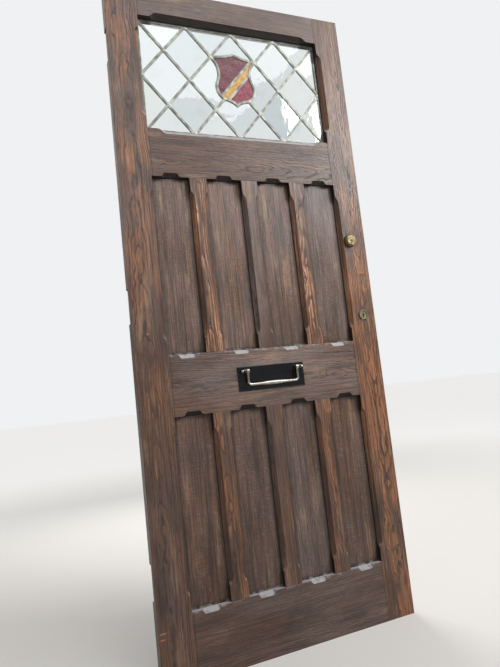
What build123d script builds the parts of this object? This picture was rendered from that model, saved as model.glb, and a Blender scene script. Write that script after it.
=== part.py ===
from build123d import *
import os
from math import cos, radians, sin, sqrt

# A framed oak entrance door leaf with eight panels and a leaded light, in millimetres.
# X runs from the hinge edge to the lock edge, Y from the outer face to the inner face, Z up.
# The origin is the middle of the bottom edge, halfway through the thickness.

# The leaf
door_w = 813.0
door_h = 2032.0
door_t = 44.0
stile_w = 96.0
muntin_w = 54.0
top_rail_h = 95.0
frieze_rail_h = 151.0
lock_rail_h = 177.0
bottom_rail_h = 180.0
lower_panel_h = 527.0
upper_panel_h = 536.0
panels_across = 4

# Joints in the wood
tongue_t = 14.0
groove_d = 11.0
panel_gap = 1.5
haunch_d = 14.0
tenon_h = 50.0
tenon_margin = 9.0
wedge_l = 74.0
wedge_t = 6.0
stub_d = 28.0

# Stopped chamfers
chamfer_w = 12.0
rail_plain = 25.0
rail_stop = 16.0
upright_plain = 30.0
upright_stop = 38.0
light_chamfer_w = 15.0
light_plain = 30.0
light_stop = 30.0

# Leaded light
light_set = 20.0
light_rebate = 10.0
came_t = 6.0
came_w = 6.5
came_flange = 1.25
came_heart = 1.5
border_heart = 3.0
border_show = 5.0
border_gap = 1.5
quarry_gap = 0.3
cells_across = 4
cells_up = 2
lead_run_on = 20.0
bead_bevel = 4.0

# Shield in the light, drawn on one cell of the lattice: each point is its distance from
# the middle and its drop from the corners, as shares of the cell's width and height
shield_top = (0.0, -0.088)
shield_shoulder = (0.28, -0.022)
shield_waist = (0.351, 0.29)
shield_flank = (0.393, 0.448)
shield_joint = (0.28, 0.779)
shield_foot = (0.119, 0.812)
shield_tip = (0.0, 0.877)
bend_w = 25.0

# Hinge rebates
hinge_h = 100.0
hinge_lip = 10.0
hinge_leaf_t = 3.5
low_hinge_up = 268.0
top_hinge_down = 194.0
middle_hinge_down = 19.0
hinge_holes = 4
hinge_hole_r = 1.75
hinge_hole_d = 25.0
hinge_hole_step = 25.0
hinge_hole_zig = 5.0

# Letter plate and its bail pull
letter_x = 3.0
plate_w = 220.0
plate_h = 74.0
plate_t = 3.5
plate_bevel = 1.5
mouth_w = 166.0
mouth_h = 34.0
slot_w = 186.0
slot_h = 52.0
flap_lap = 3.0
flap_t = 2.5
flap_pin_r = 1.5
flap_barrel_r = 3.0
flap_rise = 4.0
flap_seat = 0.1
spring_bay = 24.0
lug_t = 4.0
lug_r = 3.5
boss_x = 101.5
boss_r = 4.5
boss_l = 10.0
plate_screw_r = 2.5
plate_head_r = 4.5
plate_head_h = 3.0
washer_r = 6.0
washer_t = 1.0
bail_x = 82.0
bail_drop = 41.0
bail_up = 22.5
bail_out = 11.0
bail_r = 3.8
bail_bend = 9.0
bail_swell_r = 6.4
bail_swell_l = 84.0
collar_r = 6.9
collar_x = 14.0
collar_w = 2.4
eye_r = 6.5
eye_w = 8.0
bail_pin_r = 2.3
ear_w = 9.0
ear_r = 6.0
ball_r = 4.6
ball_neck_r = 3.2

# Rim cylinder
cylinder_backset = 60.0
cylinder_above_key = 254.5
ring_r = 21.5
ring_front_r = 16.8
ring_lip = 1.5
ring_h = 12.0
cylinder_r = 14.9
cylinder_flange_r = 15.8
cylinder_flange_t = 1.4
cylinder_l = 40.0
cylinder_hole_r = 16.0
plug_drop = 4.5
plug_r = 6.35
plug_proud = 0.3
keyway_w = 2.2
keyway_h = 9.2
keyway_l = 26.0
ward_w = 0.9
ward_h = 2.8
tail_w = 7.0
tail_t = 1.8
link_screw_r = 2.5
link_screw_x = 10.5
link_grip = 16.0
link_head_r = 4.5
link_head_h = 1.8

# Night latch on the inner face
latch_w = 92.0
latch_h = 68.0
latch_d = 30.0
latch_wall = 2.5
latch_plate_t = 2.0
latch_corner_r = 5.0
latch_bevel = 1.5
latch_screw_r = 2.0
latch_screw_l = 22.0
latch_screw_in = (21.0, 8.0)
pillar_in = 9.0
pillar_r = 4.0
pillar_grip = 14.0
case_screw_r = 1.7
case_head_r = 3.5
case_head_h = 2.2
bolt_t = 12.0
bolt_h = 22.0
bolt_out = 14.0
bolt_tail_h = 12.3
bolt_tail_l = 10.0
bolt_step = 8.0
notch_play = 0.5
cam_r = 15.0
cam_t = 4.0
cam_room = 6.0
cam_gap = 0.5
cam_pin_r = 2.5
cam_pin_at = 12.0
cam_swing = 35.0
hub_r = 5.5
hub_gap = 1.2
hub_bore_r = 8.0
tail_grip = 9.5
knob_shaft_r = 4.0
knob_gap = 2.0
knob_neck_r = 6.0
knob_r = 13.0
knob_l = 17.0
knob_rim = 3.0
grip_t = 8.0
snib_x = 378.5
snib_w = 9.0
snib_h = 8.0
snib_rise = 4.7
snib_stem_w = 3.0
snib_stem_h = 5.0
snib_foot_t = 2.0
snib_travel = 8.0

# Mortice deadlock
lock_backset = 44.5
key_above_rail = 85.5
lock_case_w = 60.5
lock_case_t = 16.0
lock_case_h = 76.0
lock_below_key = 26.0
lock_sheet = 1.5
forend_t = 3.0
forend_w = 22.0
forend_h = 104.0
forend_screw_r = 2.0
forend_screw_l = 24.0
forend_screw_in = 7.0
deadbolt_h = 25.0
deadbolt_t = 12.0
deadbolt_l = 22.5
deadbolt_up = 24.0
deadbolt_tail_t = 3.0
deadbolt_tail_h = 14.0
deadbolt_tail_in = 5.0
talon_r = 3.5
escutcheon_r = 17.0
escutcheon_h = 4.0
escutcheon_rim = 3.5
escutcheon_bevel = 1.5
escutcheon_floor = 1.6
key_r = 3.0
key_w = 2.6
key_drop = 10.0
keyhole_room = 1.0

# Clearances and small edges
running = 0.1
slack = 0.3
tip_gap = 1.0
edge_break = 0.6

# Levels and lines worked out from the sizes above
front = -door_t / 2
back = door_t / 2
inner_x = door_w / 2 - stile_w
lower_foot = bottom_rail_h
lower_head = lower_foot + lower_panel_h
upper_foot = lower_head + lock_rail_h
upper_head = upper_foot + upper_panel_h
light_foot = upper_head + frieze_rail_h
light_head = door_h - top_rail_h
light_w = 2 * inner_x
light_h = light_head - light_foot
bay_w = (light_w - (panels_across - 1) * muntin_w) / panels_across
bay_starts = [-inner_x + i * (bay_w + muntin_w) for i in range(panels_across)]
muntin_xs = [x + bay_w + muntin_w / 2 for x in bay_starts[:-1]]
panel_bays = ((lower_foot, lower_head), (upper_foot, upper_head))
stub_w = muntin_w - 2 * groove_d
hinge_edge = -door_w / 2
lock_edge = door_w / 2
top_hinge_z = door_h - top_hinge_down
middle_hinge_z = (low_hinge_up + top_hinge_z) / 2 - middle_hinge_down
lock_z = upper_foot + key_above_rail
cylinder_z = lock_z + cylinder_above_key

os.makedirs("parts", exist_ok=True)


def save(part, name):
    """Label a finished piece and write it under its own name."""
    part.label = name
    export_step(part, "parts/" + name + ".step")


def upright(y):
    """The upright plane across the door at depth y, seen from outside."""
    return Plane(origin=(0, y, 0), x_dir=(1, 0, 0), z_dir=(0, -1, 0))


def block(x0, x1, y0, y1, z0, z1):
    """A square-edged block between six faces."""
    with BuildPart() as body:
        with BuildSketch(Plane.XY.offset(z0)):
            with Locations(((x0 + x1) / 2, (y0 + y1) / 2)):
                Rectangle(x1 - x0, y1 - y0)
        extrude(amount=z1 - z0)
    return body.part


def rod(x, z, radius, y0, y1):
    """A round bar through the thickness of the door."""
    with BuildPart() as body:
        with BuildSketch(upright(y0)):
            with Locations((x, z)):
                Circle(radius)
        extrude(amount=y0 - y1)
    return body.part


def turned(x, z, points):
    """A piece turned about a line through the door at x, z, from (radius, y) points."""
    with BuildPart() as body:
        with BuildSketch(Plane.XY.offset(z)):
            with BuildLine():
                Polyline([(x + radius, y) for radius, y in points], close=True)
            make_face()
        revolve(axis=Axis((x, 0, z), (0, 1, 0)))
    return body.part


def wood_screw(radius, length, sink):
    """A countersunk screw that points down from the origin, its head flush there."""
    with BuildPart() as body:
        with BuildSketch(Plane.XZ):
            with BuildLine():
                Polyline(
                    (0, 0), (2 * radius, 0), (radius, -sink), (radius, 2 * radius - length),
                    (0, -length), close=True,
                )
            make_face()
        revolve(axis=Axis.Z)
    return body.part


def machine_screw(x, z, radius, head_r, head_h, tip, seat):
    """A slotted screw through the door, its head on y = seat and its tip at y = tip."""
    slot_w = head_r / 4
    top = seat + head_h
    with BuildPart() as body:
        add(
            turned(x, z, (
                (0, tip), (radius, tip), (radius, seat), (head_r, seat), (head_r, top), (0, top),
            ))
        )
        add(
            block(x - head_r, x + head_r, seat + head_h / 2, top, z - slot_w / 2, z + slot_w / 2),
            mode=Mode.SUBTRACT,
        )
    return body.part


def stopped_chamfer(start, along, outward, length, size, plain, stop):
    """What a plane takes off an edge: a straight run with an ogee stop at each end."""
    across = Vector(*along).cross(Vector(*outward).normalized())
    depth = size / sqrt(2)
    run_end = length - plain - stop
    with BuildPart() as waste:
        with BuildSketch(Plane(origin=start, x_dir=along, z_dir=across)):
            with BuildLine():
                dip = TangentArc((plain, 0), (plain + stop / 2, -depth / 2), tangent=(1, 0))
                TangentArc(dip @ 1, (plain + stop, -depth), tangent=dip % 1)
                Line((plain + stop, -depth), (run_end, -depth))
                rise = TangentArc(
                    (run_end, -depth), (run_end + stop / 2, -depth / 2), tangent=(1, 0)
                )
                TangentArc(rise @ 1, (run_end + stop, 0), tangent=rise % 1)
                Polyline((run_end + stop, 0), (run_end + stop, 1), (plain, 1), (plain, 0))
            make_face()
        extrude(amount=size, both=True)
    return waste.part


def upright_chamfer(x, side, foot, head):
    """Chamfer waste along one side of an upright beside a panel, on the outer face."""
    return stopped_chamfer(
        (x, front, foot), (0, 0, 1), (side, -1, 0),
        head - foot, chamfer_w, upright_plain, upright_stop,
    )


def rail_chamfers(z, side):
    """Chamfer waste along one edge of a rail, one length for each panel, on the outer face."""
    return [
        stopped_chamfer(
            (x, front, z), (1, 0, 0), (0, -1, side),
            bay_w, chamfer_w, rail_plain, rail_stop,
        )
        for x in bay_starts
    ]


def tenon_bands(low, high):
    """Heights of the tenons on a rail end: two on a deep rail, one on a shallow one."""
    foot = low + tenon_margin
    head = high - tenon_margin
    if head - foot < 2 * tenon_h + 4 * wedge_t:
        middle = (foot + head) / 2
        return [(middle - tenon_h / 2, middle + tenon_h / 2)]
    return [(foot, foot + tenon_h), (head - tenon_h, head)]


# Each rail's tongue runs between its grooves and rebates, so its tenons do too.
rail_cores = {
    "top_rail": (light_head + light_rebate, door_h),
    "frieze_rail": (upper_head + groove_d, light_foot - light_rebate),
    "lock_rail": (lower_head + groove_d, upper_foot - groove_d),
    "bottom_rail": (0.0, lower_foot - groove_d),
}


def stile_blank(side):
    """A stile with its grooves, light rebate, wedged mortices and chamfers."""
    edge = side * inner_x
    outer = side * door_w / 2
    flare = outer - side * wedge_l
    with BuildPart() as blank:
        with BuildSketch(Plane.XY):
            with Locations((side * (door_w - stile_w) / 2, 0)):
                Rectangle(stile_w, door_t)
        extrude(amount=door_h)
        for foot, head in panel_bays:
            with BuildSketch(Plane.XY.offset(foot - groove_d)):
                with Locations((edge + side * groove_d / 2, 0)):
                    Rectangle(groove_d, tongue_t)
            extrude(amount=head - foot + 2 * groove_d, mode=Mode.SUBTRACT)
        with BuildSketch(Plane.XY.offset(light_foot - light_rebate)):
            with Locations((edge + side * light_rebate / 2, (front + light_set + back) / 2)):
                Rectangle(light_rebate, door_t - light_set)
        extrude(amount=light_h + 2 * light_rebate, mode=Mode.SUBTRACT)
        with BuildSketch(Plane.XZ):
            for low, high in rail_cores.values():
                with Locations((edge + side * haunch_d / 2, (low + high) / 2)):
                    Rectangle(haunch_d, high - low)
                for foot, head in tenon_bands(low, high):
                    with BuildLine():
                        Polyline(
                            (edge, foot), (flare, foot), (outer, foot - wedge_t),
                            (outer, head + wedge_t), (flare, head), (edge, head), close=True,
                        )
                    make_face()
        extrude(amount=tongue_t / 2, both=True, mode=Mode.SUBTRACT)
        for foot, head in panel_bays:
            add(upright_chamfer(edge, -side, foot, head), mode=Mode.SUBTRACT)
        add(
            stopped_chamfer(
                (edge, front, light_foot), (0, 0, 1), (-side, -1, 0),
                light_h, light_chamfer_w, light_plain, light_stop,
            ),
            mode=Mode.SUBTRACT,
        )
    return blank.part


def rail_blank(name, foot, head):
    """A rail with its haunched tenons, before its edges are worked."""
    low, high = rail_cores[name]
    with BuildPart() as blank:
        with BuildSketch(Plane.XZ):
            with Locations((0, (foot + head) / 2)):
                Rectangle(light_w, head - foot)
        extrude(amount=door_t / 2, both=True)
        with BuildSketch(Plane.XZ):
            with Locations((0, (low + high) / 2)):
                Rectangle(light_w + 2 * haunch_d, high - low)
            for tenon_foot, tenon_head in tenon_bands(low, high):
                with Locations((0, (tenon_foot + tenon_head) / 2)):
                    Rectangle(door_w, tenon_head - tenon_foot)
        extrude(amount=tongue_t / 2, both=True)
    return blank.part


def panel_edge(z, side):
    """Waste from a rail edge that holds panels: groove, muntin mortices and chamfers."""
    floor = z - side * groove_d
    with BuildPart() as groove:
        with BuildSketch(Plane.XZ):
            with Locations((0, (z + floor) / 2)):
                Rectangle(light_w, groove_d)
            with Locations([(x, z - side * stub_d / 2) for x in muntin_xs]):
                Rectangle(stub_w, stub_d)
        extrude(amount=tongue_t / 2, both=True)
    return [groove.part] + rail_chamfers(z, side)


def light_edge(z, side):
    """Waste from a rail edge that frames the light: rebate and one long chamfer."""
    ends = sorted((z, z - side * light_rebate))
    rebate = block(-inner_x, inner_x, front + light_set, back, ends[0], ends[1])
    run = stopped_chamfer(
        (-inner_x, front, z), (1, 0, 0), (0, -1, side),
        light_w, light_chamfer_w, light_plain, light_stop,
    )
    return [rebate, run]


# Stiles
hinge_blank = stile_blank(-1)
with BuildPart() as hinge_stile:
    add(hinge_blank)
    for centre in (low_hinge_up, middle_hinge_z, top_hinge_z):
        with BuildSketch(Plane.XY.offset(centre - hinge_h / 2)):
            with Locations((hinge_edge + hinge_leaf_t / 2, (front + hinge_lip + back) / 2)):
                Rectangle(hinge_leaf_t, door_t - hinge_lip)
        extrude(amount=hinge_h, mode=Mode.SUBTRACT)
        with BuildSketch(Plane.YZ.offset(hinge_edge + hinge_leaf_t)):
            for i in range(hinge_holes):
                y = hinge_lip / 2 + hinge_hole_zig * (1 if i % 2 else -1)
                with Locations((y, centre + (i - (hinge_holes - 1) / 2) * hinge_hole_step)):
                    Circle(hinge_hole_r)
        extrude(amount=hinge_hole_d, mode=Mode.SUBTRACT)
save(hinge_stile.part, "hinge_stile")

cylinder_x = lock_edge - cylinder_backset
turn_z = cylinder_z - plug_drop
key_x = lock_edge - lock_backset
latch_x = lock_edge - latch_w / 2
lock_foot = lock_z - lock_below_key
lock_head = lock_foot + lock_case_h
lock_mid = (lock_foot + lock_head) / 2
lock_back_x = lock_edge - forend_t - lock_case_w


def keyhole(y0, y1, grow):
    """A keyhole cut: a round top and a slot below it."""
    with BuildPart() as cut:
        with BuildSketch(upright(y0)):
            with Locations((key_x, lock_z)):
                Circle(key_r + grow)
            with Locations((key_x, lock_z - key_drop / 2)):
                Rectangle(key_w + 2 * grow, key_drop + 2 * grow)
        extrude(amount=y0 - y1)
    return cut.part


latch_screws_in_place = [
    Pos(latch_x + i * (latch_w / 2 - latch_screw_in[0]), back + latch_plate_t,
        turn_z + i * (latch_h / 2 - latch_screw_in[1]))
    * Rot(-90, 0, 0) * wood_screw(latch_screw_r, latch_screw_l, latch_plate_t)
    for i in (-1, 1)
]
forend_screws_in_place = [
    Pos(lock_edge, 0, lock_mid + i * (forend_h / 2 - forend_screw_in))
    * Rot(0, 90, 0) * wood_screw(forend_screw_r, forend_screw_l, forend_t)
    for i in (-1, 1)
]
lock_pocket = block(
    lock_back_x - slack, lock_edge - forend_t, -lock_case_t / 2, lock_case_t / 2,
    lock_foot - slack, lock_head + slack,
)
forend_recess = block(
    lock_edge - forend_t, lock_edge, -forend_w / 2, forend_w / 2,
    lock_mid - forend_h / 2, lock_mid + forend_h / 2,
)

with BuildPart() as lock_stile:
    add(mirror(hinge_blank, about=Plane.YZ, mode=Mode.PRIVATE))
    add(rod(cylinder_x, cylinder_z, cylinder_hole_r, front, back), mode=Mode.SUBTRACT)
    add([lock_pocket, forend_recess, keyhole(front, back, keyhole_room)], mode=Mode.SUBTRACT)
    add(latch_screws_in_place + forend_screws_in_place, mode=Mode.SUBTRACT)
save(lock_stile.part, "lock_stile")

# Rails
with BuildPart() as top_rail:
    add(rail_blank("top_rail", light_head, door_h))
    add(light_edge(light_head, -1), mode=Mode.SUBTRACT)
save(top_rail.part, "top_rail")

with BuildPart() as frieze_rail:
    add(rail_blank("frieze_rail", upper_head, light_foot))
    add(light_edge(light_foot, 1) + panel_edge(upper_head, -1), mode=Mode.SUBTRACT)
save(frieze_rail.part, "frieze_rail")

letter_z = (lower_head + upper_foot) / 2
boss_spots = [(letter_x - boss_x, letter_z), (letter_x + boss_x, letter_z)]
with BuildPart() as lock_rail:
    add(rail_blank("lock_rail", lower_head, upper_foot))
    add(panel_edge(lower_head, -1) + panel_edge(upper_foot, 1), mode=Mode.SUBTRACT)
    with BuildSketch(upright(front)):
        with Locations((letter_x, letter_z)):
            Rectangle(slot_w, slot_h)
    extrude(amount=-door_t, mode=Mode.SUBTRACT)
    for x, z in boss_spots:
        add(rod(x, z, boss_r + slack, front, front + boss_l + slack), mode=Mode.SUBTRACT)
        add(rod(x, z, plate_screw_r + slack, front, back), mode=Mode.SUBTRACT)
save(lock_rail.part, "lock_rail")

with BuildPart() as bottom_rail:
    add(rail_blank("bottom_rail", 0, lower_foot))
    add(panel_edge(lower_foot, 1), mode=Mode.SUBTRACT)
save(bottom_rail.part, "bottom_rail")

# Wedges that lock the through tenons, two at each end of every tenon
with BuildPart() as tenon_wedges:
    with BuildSketch(Plane.XZ):
        for side in (-1, 1):
            outer = side * door_w / 2
            for low, high in rail_cores.values():
                for foot, head in tenon_bands(low, high):
                    for z, up in ((foot, -1), (head, 1)):
                        with BuildLine():
                            Polyline(
                                (outer - side * wedge_l, z), (outer, z),
                                (outer, z + up * wedge_t), close=True,
                            )
                        make_face()
    extrude(amount=tongue_t / 2, both=True)
save(tenon_wedges.part, "tenon_wedges")

# Muntins and panels, lower row then upper row
def muntin_blank(foot, head):
    """A stub-tenoned muntin on the middle line, grooved and chamfered on both sides."""
    middle = (foot + head) / 2
    with BuildPart() as blank:
        with BuildSketch(Plane.XZ):
            with Locations((0, middle)):
                Rectangle(muntin_w, head - foot)
        extrude(amount=door_t / 2, both=True)
        with BuildSketch(Plane.XZ):
            with Locations((0, middle)):
                Rectangle(stub_w, head - foot + 2 * stub_d)
        extrude(amount=tongue_t / 2, both=True)
        with BuildSketch(Plane.XZ):
            for side in (-1, 1):
                with Locations((side * (muntin_w - groove_d) / 2, middle)):
                    Rectangle(groove_d, head - foot)
        extrude(amount=tongue_t / 2, both=True, mode=Mode.SUBTRACT)
        for side in (-1, 1):
            add(upright_chamfer(side * muntin_w / 2, side, foot, head), mode=Mode.SUBTRACT)
    return blank.part


for row, (foot, head) in zip(("lower", "upper"), panel_bays):
    muntin_shape = muntin_blank(foot, head)
    for i, x in enumerate(muntin_xs):
        with BuildPart() as muntin:
            with Locations((x, 0, 0)):
                add(muntin_shape)
        save(muntin.part, f"{row}_muntin_{i + 1}")
    for i, x in enumerate(bay_starts):
        reach = groove_d - panel_gap
        with BuildPart() as panel:
            with BuildSketch(Plane.XZ):
                with Locations((x + bay_w / 2, (foot + head - panel_gap) / 2)):
                    Rectangle(bay_w + 2 * reach, head - foot + 2 * groove_d - panel_gap)
            extrude(amount=tongue_t / 2, both=True)
        save(panel.part, f"{row}_panel_{i + 1}")

# Leaded light: the lines below are the middles of the leads, measured from the foot
# of the light at its middle, and each cell of the lattice is one diamond wide and high.
cell_w = light_w / cells_across
cell_h = light_h / cells_up
light_front = front + light_set
light_rim = light_rebate - border_gap
shield_corner = (cell_w / 2, 1.5 * cell_h)


def lattice_lines():
    """The two sets of sloping leads, each run on past the border."""
    lines = []
    for lean in (1, -1):
        for k in range(1 - cells_up, cells_across):
            first = max(0, -k) - lead_run_on / cell_w
            last = min(cells_up, cells_across - k) + lead_run_on / cell_w
            ends = []
            for step in (first, last):
                across = (k + step) * cell_w - light_w / 2
                ends.append((lean * across, light_h - step * cell_h))
            lines.append(ends)
    return lines


def shield():
    """The shield in the middle: a raised top edge, hollow shoulders and a small foot."""
    top, shoulder, waist, flank, joint, foot, tip = [
        (across * cell_w, shield_corner[1] - down * cell_h)
        for across, down in (
            shield_top, shield_shoulder, shield_waist, shield_flank, shield_joint,
            shield_foot, shield_tip,
        )
    ]
    with BuildSketch() as outline:
        with BuildLine():
            ThreePointArc(top, shoulder, shield_corner)
            hollow = ThreePointArc(shield_corner, waist, flank)
            TangentArc(flank, joint, tangent=hollow % 1)
            ThreePointArc(joint, foot, tip)
            Line(tip, top)
        make_face()
        mirror(about=Plane.YZ)
    return outline.sketch


def bend(width):
    """The diagonal band across the shield, on the line of the lattice."""
    slope = Vector(cell_w, cell_h).normalized()
    side = Vector(-slope.Y, slope.X) * (width / 2)
    head = Vector(*shield_corner) + slope * bend_w
    foot = head - slope * (cells_up * cell_h + 2 * bend_w)
    with BuildSketch() as band:
        with BuildLine():
            Polyline(*[(p.X, p.Y) for p in (head + side, head - side, foot - side, foot + side)],
                     close=True)
        make_face()
        add(shield(), mode=Mode.INTERSECT)
    return band.sketch


def light_plane(y):
    """The upright plane at depth y with its origin at the foot of the light."""
    return Plane(origin=(0, y, light_foot), x_dir=(1, 0, 0), z_dir=(0, -1, 0))


def whole_light():
    """The outline of the leaded light, out to the edge of its border lead."""
    with BuildSketch() as outline:
        with Locations((0, light_h / 2)):
            Rectangle(light_w + 2 * light_rim, light_h + 2 * light_rim)
    return outline.sketch


def leads(width, border):
    """The whole net of leads: border strip, lattice, shield and the band's two edges."""
    with BuildSketch() as net:
        add(whole_light())
        offset(whole_light(), amount=-border, kind=Kind.INTERSECTION, mode=Mode.SUBTRACT)
        for start, end in lattice_lines():
            with BuildLine():
                Line(start, end)
            trace(line_width=width)
        add(whole_light(), mode=Mode.INTERSECT)
        add(shield(), mode=Mode.SUBTRACT)
        add(bend(bend_w + width))
        add(bend(bend_w - width), mode=Mode.SUBTRACT)
        trace(shield().faces()[0].outer_wire(), line_width=width)
    return net.sketch


glass_front = light_front + came_flange
glass_t = came_t - 2 * came_flange
flange_net = leads(came_w, light_rim + border_show)
heart_net = leads(came_heart, border_heart)
gap_net = leads(came_heart + 2 * quarry_gap, border_heart + quarry_gap)

with BuildPart() as lead_cames:
    with BuildSketch(light_plane(light_front)):
        add(flange_net)
    extrude(amount=-came_t)
    with BuildSketch(light_plane(glass_front)):
        add(whole_light())
        add(heart_net, mode=Mode.SUBTRACT)
    extrude(amount=-glass_t, mode=Mode.SUBTRACT)
save(lead_cames.part, "lead_cames")

with BuildPart() as clear_quarries:
    with BuildSketch(light_plane(glass_front)):
        add(whole_light())
        add(gap_net, mode=Mode.SUBTRACT)
        add(shield(), mode=Mode.SUBTRACT)
    extrude(amount=-glass_t)
save(clear_quarries.part, "clear_quarries")

with BuildPart() as ruby_glass:
    with BuildSketch(light_plane(glass_front)):
        add(shield())
        add(gap_net, mode=Mode.SUBTRACT)
        add(bend(bend_w), mode=Mode.SUBTRACT)
    extrude(amount=-glass_t)
save(ruby_glass.part, "ruby_glass")

with BuildPart() as amber_bend:
    with BuildSketch(light_plane(glass_front)):
        add(bend(bend_w))
        add(gap_net, mode=Mode.SUBTRACT)
    extrude(amount=-glass_t)
save(amber_bend.part, "amber_bend")

# Beads that hold the light in from the inner face, mitred at the corners
bead_front = light_front + came_t
light_middle = (0, back, light_foot + light_h / 2)
bead_in = (light_w / 2, light_h / 2)
bead_out = (bead_in[0] + light_rebate, bead_in[1] + light_rebate)


def bead(a, b):
    """One bead between the corner directions a and b, bevelled towards the room."""
    with BuildPart() as strip:
        with BuildSketch(light_plane(bead_front)):
            with BuildLine():
                Polyline(
                    *[
                        (sx * size[0], light_h / 2 + sz * size[1])
                        for size, (sx, sz) in ((bead_out, a), (bead_out, b), (bead_in, b), (bead_in, a))
                    ],
                    close=True,
                )
            make_face()
        extrude(amount=bead_front - back)
        room_edges = strip.edges().group_by(Axis.Y)[-1]
        chamfer(room_edges.sort_by_distance(light_middle)[0], length=bead_bevel)
    return strip.part


corners = ((-1, -1), (1, -1), (1, 1), (-1, 1))
beads = [bead(corners[i], corners[(i + 1) % 4]) for i in range(4)]
save(Compound(children=beads), "glazing_beads")

# Letter plate: the plate, its ears and bosses, the inner flap and the bail pull
plate_front = front - plate_t
bail_y = plate_front - bail_out
bail_z = letter_z + bail_up
bar_z = bail_z - bail_drop
ear_x = bail_x + eye_w / 2 + slack
flap_y = front + flap_seat + flap_barrel_r
flap_z = letter_z + mouth_h / 2 + flap_rise
flap_half = mouth_w / 2 + flap_lap
lug_x = flap_half + slack

with BuildPart() as letter_plate:
    with BuildSketch(upright(front)):
        with Locations((letter_x, letter_z)):
            Rectangle(plate_w, plate_h)
    extrude(amount=plate_t)
    chamfer(letter_plate.faces().sort_by(Axis.Y)[0].edges(), length=plate_bevel)
    with BuildSketch(upright(front)):
        with Locations((letter_x, letter_z)):
            Rectangle(mouth_w, mouth_h)
    extrude(amount=plate_t, mode=Mode.SUBTRACT)
    for side in (-1, 1):
        with BuildSketch(Plane.YZ.offset(letter_x + side * (ear_x + ear_w / 2))):
            with Locations((bail_y, bail_z)):
                Circle(ear_r)
            with Locations(((bail_y + plate_front) / 2, bail_z)):
                Rectangle(bail_out, 2 * ear_r)
            with Locations((bail_y, bail_z)):
                Circle(bail_pin_r + running, mode=Mode.SUBTRACT)
        extrude(amount=ear_w / 2, both=True)
        with BuildSketch(Plane.YZ.offset(letter_x + side * (lug_x + lug_t / 2))):
            with Locations((flap_y, flap_z)):
                Circle(lug_r)
            with Locations(((front + flap_y) / 2, flap_z)):
                Rectangle(flap_y - front, 2 * lug_r)
            with Locations((flap_y, flap_z)):
                Circle(flap_pin_r + running, mode=Mode.SUBTRACT)
        extrude(amount=lug_t / 2, both=True)
    for x, z in boss_spots:
        add(rod(x, z, boss_r, front, front + boss_l))
        add(rod(x, z, plate_screw_r + running, front, front + boss_l), mode=Mode.SUBTRACT)
save(letter_plate.part, "letter_plate")

with BuildPart() as letter_flap:
    blade_foot = letter_z - mouth_h / 2 - flap_lap
    with BuildSketch(Plane.YZ.offset(letter_x)):
        with Locations((front + flap_seat + flap_t / 2, (blade_foot + flap_z) / 2)):
            Rectangle(flap_t, flap_z - blade_foot)
        with Locations((flap_y, flap_z)):
            Circle(flap_barrel_r)
            Circle(flap_pin_r + running, mode=Mode.SUBTRACT)
    extrude(amount=flap_half, both=True)
    with BuildSketch(Plane.YZ.offset(letter_x)):
        with Locations((flap_y, flap_z)):
            Rectangle(2 * lug_r, 2 * lug_r)
    extrude(amount=spring_bay / 2, both=True, mode=Mode.SUBTRACT)
save(letter_flap.part, "letter_flap")

with BuildPart() as flap_pin:
    with BuildSketch(Plane.YZ.offset(letter_x)):
        with Locations((flap_y, flap_z)):
            Circle(flap_pin_r)
    extrude(amount=lug_x + lug_t, both=True)
save(flap_pin.part, "flap_pin")

with BuildPart() as bail_pull:
    with BuildLine(upright(bail_y)) as bow:
        FilletPolyline(
            (letter_x - bail_x, bail_z), (letter_x - bail_x, bar_z),
            (letter_x + bail_x, bar_z), (letter_x + bail_x, bail_z), radius=bail_bend,
        )
    with BuildSketch(Plane(origin=bow.line @ 0, z_dir=bow.line % 0)):
        Circle(bail_r)
    sweep()
    swell_from = letter_x - bail_swell_l / 2
    swell_to = letter_x + bail_swell_l / 2
    with BuildSketch(upright(bail_y)):
        with BuildLine():
            ThreePointArc(
                (swell_from, bar_z + bail_r), (letter_x, bar_z + bail_swell_r),
                (swell_to, bar_z + bail_r),
            )
            Polyline(
                (swell_to, bar_z + bail_r), (swell_to, bar_z),
                (swell_from, bar_z), (swell_from, bar_z + bail_r),
            )
        make_face()
    revolve(axis=Axis((letter_x, bail_y, bar_z), (1, 0, 0)))
    for side in (-1, 1):
        with BuildSketch(Plane.YZ.offset(letter_x + side * collar_x)):
            with Locations((bail_y, bar_z)):
                Circle(collar_r)
        extrude(amount=collar_w / 2, both=True)
        with BuildSketch(Plane.YZ.offset(letter_x + side * bail_x)):
            with Locations((bail_y, bail_z)):
                Circle(eye_r)
        extrude(amount=eye_w / 2, both=True)
        with BuildSketch(Plane.YZ.offset(letter_x + side * bail_x)):
            with Locations((bail_y, bail_z)):
                Circle(bail_pin_r + running)
        extrude(amount=eye_w / 2, both=True, mode=Mode.SUBTRACT)
save(bail_pull.part, "bail_pull")

with BuildPart() as bail_pins:
    pin_start = letter_x + bail_x - eye_w / 2
    pin_end = letter_x + ear_x + ear_w
    ball_x = pin_end + sqrt(ball_r ** 2 - ball_neck_r ** 2)
    with BuildSketch(upright(bail_y)):
        with BuildLine():
            Polyline(
                (ball_x + ball_r, bail_z), (pin_start, bail_z), (pin_start, bail_z + bail_pin_r),
                (pin_end, bail_z + bail_pin_r), (pin_end, bail_z + ball_neck_r),
            )
            ThreePointArc(
                (pin_end, bail_z + ball_neck_r), (ball_x, bail_z + ball_r),
                (ball_x + ball_r, bail_z),
            )
        make_face()
    revolve(axis=Axis((letter_x, bail_y, bail_z), (1, 0, 0)))
    mirror(about=Plane.YZ.offset(letter_x))
save(bail_pins.part, "bail_pins")

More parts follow.
